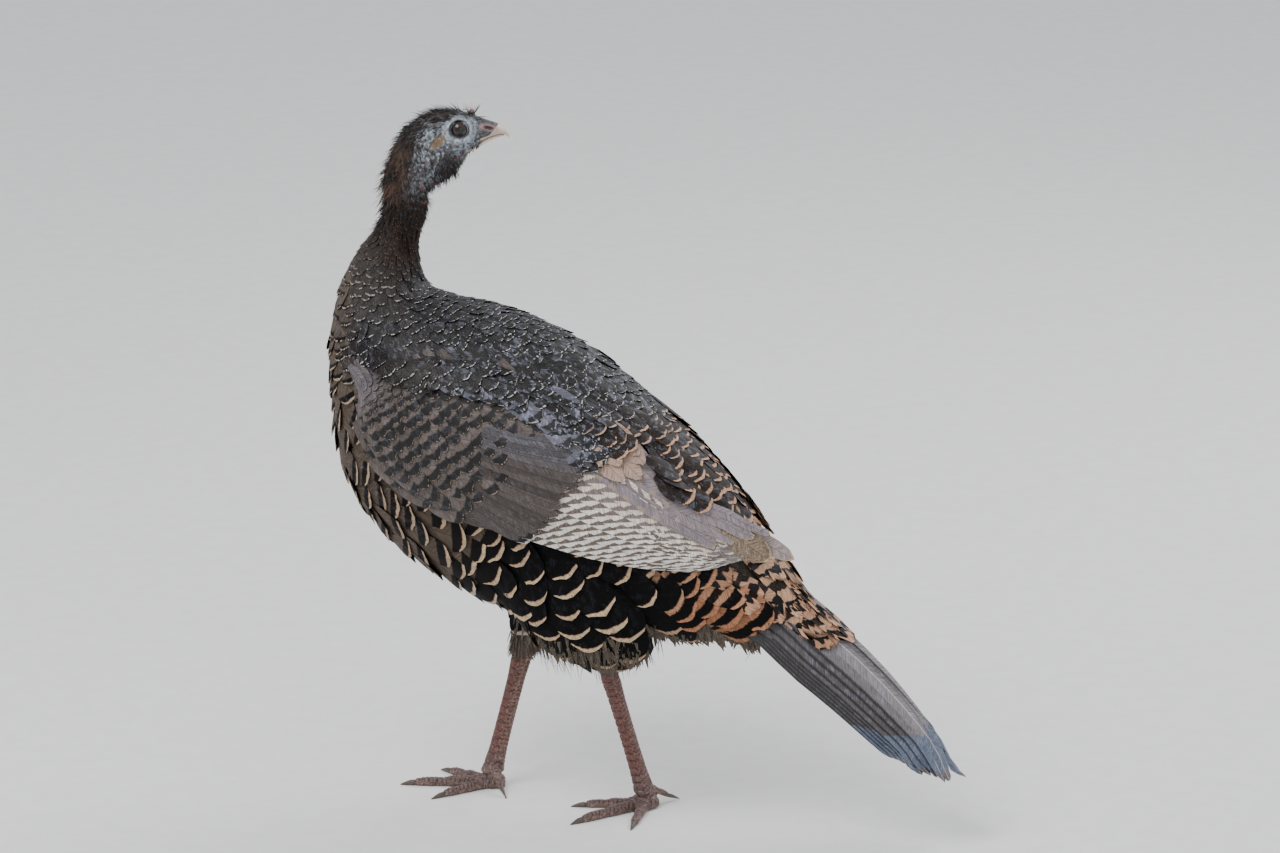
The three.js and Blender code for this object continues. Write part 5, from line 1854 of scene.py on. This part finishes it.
def build_bristles():
    """Hair-like feathers of head and neck: dense on crown, nape and throat, few on the face."""
    guide = bare_guide()
    rng = draws(BRISTLE_DRAWS)
    places = guide.sample(BRISTLE_TRIES, rng)
    places = places[places[:, 2] > BRISTLE_HEM]
    f, v, _ = head_frame(places)
    rho = eye_frame(places)[0]
    back = smooth(20, -4, f - 0.3 * (v - 10))
    crown = smooth(19, 26, v) * smooth(62, 50, f)
    throat = blob((f, v), (34, -26), (14, 13))
    low = smooth(-30, -55, v)
    face = 0.12 * smooth(13, 16, rho)
    dense = np.clip(np.maximum.reduce([back, crown, throat * 1.2, low, face]), 0, 1)
    dense *= smooth(12.5, 14.5, rho) * smooth(66, 58, f)
    keep = (rng.random(len(places)) < dense) & ~in_ear(places)
    places = places[keep]
    places = places[spread(places, np.full(len(places), BRISTLE_GAP), rng)]
    spots, normals = guide.nearest(places)
    f, v, _ = head_frame(spots)
    throat = blob((f, v), (36, -26), (12, 12))
    back = smooth(20, -4, f - 0.3 * (v - 10))
    count = len(spots)
    crown = smooth(12, 24, v)
    rear = np.maximum(crown, back)
    length = varied(rng, 4.4 + 3.4 * throat + 3.2 * smooth(-20, -55, v) + 3.4 * rear, 0.45)
    stand = np.clip(rng.normal(0.36, 0.25, count) + 0.4 * throat + 0.25 * rear, 0.05, 1.3)
    cloudy = smooth(0.3, 0.6, lattice_noise(spots, 8.0, 3) + 0.1)
    rusty = back * smooth(8, -8, v) * smooth(-58, -44, v) * cloudy
    ground = paint("black") * 1.6 + (paint("bristle") - paint("black")) * (rusty * 0.9)[:, None]
    look = tuft_look(count, 0.6, 0.3, ground, paint("bristle"), rng, (0.4, 0.3))
    coat = Coat(draws(BRISTLE_VANES))
    straight_tufts(coat, spots, normals, head_lie(spots, normals), length,
                   rng.uniform(0.24, 0.42, count) + 0.12 * rear, stand, look, rng, stray=0.45)
    # tan bristles that cover the ear opening
    places = guide.sample(EAR_TRIES, rng)
    places = places[in_ear(places) & (places[:, 2] > 600)]
    places = places[spread(places, np.full(len(places), EAR_GAP), rng)]
    spots, normals = guide.nearest(places)
    count = len(spots)
    look = tuft_look(count, 0.5, 0.2, paint("ear_tan"), paint("ear_tan") * 1.2, rng, (0.3, 0.2))
    lie = along_surface(np.broadcast_to(unit(-HEAD_FORWARD * 0.6 + DOWN * 0.7), spots.shape), normals)
    straight_tufts(coat, spots, normals, lie, rng.uniform(3.0, 4.6, count), rng.uniform(0.28, 0.4, count),
                   np.full(count, 0.3), look, rng)
    # black hairs that stand round the snood
    count = SNOOD_HAIRS
    turn = rng.uniform(0, 2 * math.pi, count)
    base = from_head(np.stack([SNOOD_AT[0] + 3.0 * np.cos(turn), np.full(count, 27.0),
                               3.0 * np.sin(turn)], axis=1))
    spots, normals = guide.nearest(base)
    outward = (np.cos(turn)[:, None] * HEAD_FORWARD * 0.55 + np.sin(turn)[:, None] * HEAD_LATERAL * 0.5
               + UP)
    look = tuft_look(count, 0.6, 0.0, paint("black"), paint("bristle"))
    side = unit(np.cross(outward, HEAD_LATERAL))
    straight_tufts(coat, spots, side, unit(outward), rng.uniform(6, 12.5, count),
                   rng.uniform(0.2, 0.3, count), np.full(count, 0.1), look, rng)
    finish_piece(coat.build("head_bristles"), plume_material("bristle", colours(), 0.55))


def over_hock(places):
    """0 at the hock to 1 well up the thigh."""
    limit = hock_height(places)
    return smooth(limit, limit + 50, places[:, 2])


def build_leg_down():
    """Short fuzzy feathers over the lower thighs and down to the hocks."""
    guide = bare_guide()
    rng = draws(DOWN_DRAWS)
    places = guide.sample(DOWN_TRIES, rng)
    places = places[(places[:, 2] < 215) & (places[:, 2] > 120)]
    places = places[places[:, 2] > hock_height(places) - 1]
    places = places[spread(places, 2.3 + 3.2 * over_hock(places), rng)]
    spots, normals = guide.nearest(places)
    high = over_hock(spots)
    count = len(spots)
    lie = DOWN + 0.25 * ALONG
    lie = unit(lie - (normals @ lie)[:, None] * normals)
    length = varied(rng, 8 + 16 * high, 0.2)
    ground = np.tile(paint("down"), (count, 1)) * (0.65 + 0.35 * (1 - high))[:, None]
    look = tuft_look(count, 1.2, 0.45, ground, paint("down") * 1.7, rng, (0.25, 0.2))
    coat = Coat(draws(DOWN_VANES))
    straight_tufts(coat, spots, normals, lie, length, 0.9 + 1.6 * high, rng.uniform(0.12, 0.3, count),
                   look, rng)
    # a looser skirt of down under the thighs
    places = guide.sample(SKIRT_TRIES, rng)
    local = in_frame(places, BODY_ORIGIN, BODY_AXES)
    level = (places[:, 2] < 222) & (places[:, 2] > 172)
    places = places[level & (local[:, 0] > 300) & (local[:, 0] < 388)]
    places = places[spread(places, np.full(len(places), SKIRT_GAP), rng)]
    spots, normals = guide.nearest(places)
    count = len(spots)
    lie = unit(DOWN + 0.15 * ALONG - (normals @ (DOWN + 0.15 * ALONG))[:, None] * normals * 0.6)
    look = tuft_look(count, 1.2, 0.3, paint("down") * 1.1, paint("down") * 2.0, rng, (0.4, 0.3))
    straight_tufts(coat, spots, normals, lie, rng.uniform(20, 40, count), rng.uniform(0.25, 0.5, count),
                   rng.uniform(0.02, 0.12, count), look, rng, stray=0.16)
    finish_piece(coat.build("leg_down"), plume_material("leg_down", colours(), 0.75))


# ------------------------------------------------------------------ stage
CAMERA_AZIMUTH = math.radians(20)              # from +X towards +Y
CAMERA_HEIGHT = math.radians(15)
CAMERA_DISTANCE = 6.0
CAMERA_TARGET = Vector((0.0, -0.00625, 0.37996))
CAMERA_LENS = 177.19


def build_stage():
    scene = bpy.context.scene
    back = Vector((math.cos(CAMERA_HEIGHT) * math.cos(CAMERA_AZIMUTH),
                   math.cos(CAMERA_HEIGHT) * math.sin(CAMERA_AZIMUTH), math.sin(CAMERA_HEIGHT)))
    lens = bpy.data.cameras.new("camera")
    lens.lens = CAMERA_LENS
    lens.sensor_width = 36.0
    camera = bpy.data.objects.new("camera", lens)
    scene.collection.objects.link(camera)
    camera.location = CAMERA_TARGET + back * CAMERA_DISTANCE
    camera.rotation_mode = "QUATERNION"
    camera.rotation_quaternion = (-back).to_track_quat("-Z", "Y")
    scene.camera = camera

    reach = 6.0
    floor_mesh = bpy.data.meshes.new("floor")
    corners = [(-reach, -reach, 0), (reach, -reach, 0), (reach, reach, 0), (-reach, reach, 0)]
    floor_mesh.from_pydata(corners, [], [(0, 1, 2, 3)])
    floor = link("floor", floor_mesh)
    f = Finish("floor_paper")
    grain = f.noise(f.position(), 40.0, 3.0)
    darker = tuple(0.96 * c for c in colours().floor)
    paper = f.mix(f.step(grain, 0.3, 0.7), tuple(colours().floor), darker)
    floor.data.materials.append(f.close(paper, 0.9))

    world = scene.world or bpy.data.worlds.new("world")
    scene.world = world
    world.use_nodes = True
    sky = world.node_tree.nodes.get("Background")
    sky.inputs[0].default_value = (0.93, 0.95, 1.0, 1.0)
    sky.inputs[1].default_value = 0.85
    lamps = {"key": ((1.4, -0.9, 2.6), 1.4, 46.0), "fill": ((1.8, 1.9, 1.2), 1.8, 8.0),
             "back": ((-1.9, 0.9, 2.2), 1.5, 30.0)}
    for name, (place, size, power) in lamps.items():
        data = bpy.data.lights.new(name, "AREA")
        data.size = size
        data.energy = power
        lamp = bpy.data.objects.new(name, data)
        scene.collection.objects.link(lamp)
        lamp.location = place
        aim = Vector((0, 0, 0.35)) - lamp.location
        lamp.rotation_mode = "QUATERNION"
        lamp.rotation_quaternion = aim.to_track_quat("-Z", "Y")


# ------------------------------------------------------------------ operators and panel
class HenOperator:
    """Shared shape of the operators: each runs one maker."""
    bl_options = {"REGISTER", "UNDO"}

    def execute(self, context):
        self.make()
        return {"FINISHED"}


class HEN_OT_stage(HenOperator, bpy.types.Operator):
    """Adds the camera, the pale floor and the soft lights"""
    bl_idname = "hen.stage"
    bl_label = "Stage"
    make = staticmethod(build_stage)


class HEN_OT_body_plumage(HenOperator, bpy.types.Operator):
    """Covers neck, trunk and thighs with feathers"""
    bl_idname = "hen.body_plumage"
    bl_label = "Body plumage"
    make = staticmethod(build_body_plumage)


class HEN_OT_skin(HenOperator, bpy.types.Operator):
    """Makes one skin from head to toes, inside the coat"""
    bl_idname = "hen.skin"
    bl_label = "Skin"
    make = staticmethod(build_skin)


class HEN_OT_eyes(HenOperator, bpy.types.Operator):
    """Makes both eyeballs"""
    bl_idname = "hen.eyes"
    bl_label = "Eyes"
    make = staticmethod(build_eyes)


class HEN_OT_bill(HenOperator, bpy.types.Operator):
    """Makes the upper and lower mandible"""
    bl_idname = "hen.bill"
    bl_label = "Bill"
    make = staticmethod(build_bill)


class HEN_OT_claws(HenOperator, bpy.types.Operator):
    """Makes the claws of both feet"""
    bl_idname = "hen.claws"
    bl_label = "Claws"
    make = staticmethod(build_claws)


class HEN_OT_bristles(HenOperator, bpy.types.Operator):
    """Grows the hair-like feathers of head and neck"""
    bl_idname = "hen.bristles"
    bl_label = "Head bristles"
    make = staticmethod(build_bristles)


class HEN_OT_leg_down(HenOperator, bpy.types.Operator):
    """Grows the short down above the hocks"""
    bl_idname = "hen.leg_down"
    bl_label = "Leg down"
    make = staticmethod(build_leg_down)


class HEN_OT_wings(HenOperator, bpy.types.Operator):
    """Lays the coverts and flight feathers of both closed wings"""
    bl_idname = "hen.wings"
    bl_label = "Wings"
    make = staticmethod(build_wings)


class HEN_OT_tail(HenOperator, bpy.types.Operator):
    """Lays the feathers of the folded tail"""
    bl_idname = "hen.tail"
    bl_label = "Tail"
    make = staticmethod(build_tail)


OPERATORS = (HEN_OT_stage, HEN_OT_skin, HEN_OT_eyes, HEN_OT_bill, HEN_OT_claws, HEN_OT_bristles,
             HEN_OT_leg_down, HEN_OT_body_plumage, HEN_OT_wings, HEN_OT_tail)


class HEN_PT_panel(bpy.types.Panel):
    """Lists the pieces, sizes and colours in the sidebar"""
    bl_label = "Wild turkey hen"
    bl_idname = "HEN_PT_panel"
    bl_space_type = "VIEW_3D"
    bl_region_type = "UI"
    bl_category = "Turkey"

    def draw(self, context):
        for operator in OPERATORS:
            self.layout.operator(operator.bl_idname)
        for group in (context.scene.hen_sizes, context.scene.hen_colours):
            box = self.layout.box()
            for name in group.__annotations__:
                box.prop(group, name)


CLASSES = (HenSizes, HenColours, *OPERATORS, HEN_PT_panel)


def register():
    for kind in CLASSES:
        bpy.utils.register_class(kind)
    bpy.types.Scene.hen_sizes = PointerProperty(type=HenSizes)
    bpy.types.Scene.hen_colours = PointerProperty(type=HenColours)


def unregister():
    del bpy.types.Scene.hen_colours
    del bpy.types.Scene.hen_sizes
    for kind in reversed(CLASSES):
        bpy.utils.unregister_class(kind)


def main():
    register()
    for operator in OPERATORS:
        group, name = operator.bl_idname.split(".")
        getattr(getattr(bpy.ops, group), name)()


if __name__ == "__main__":
    main()
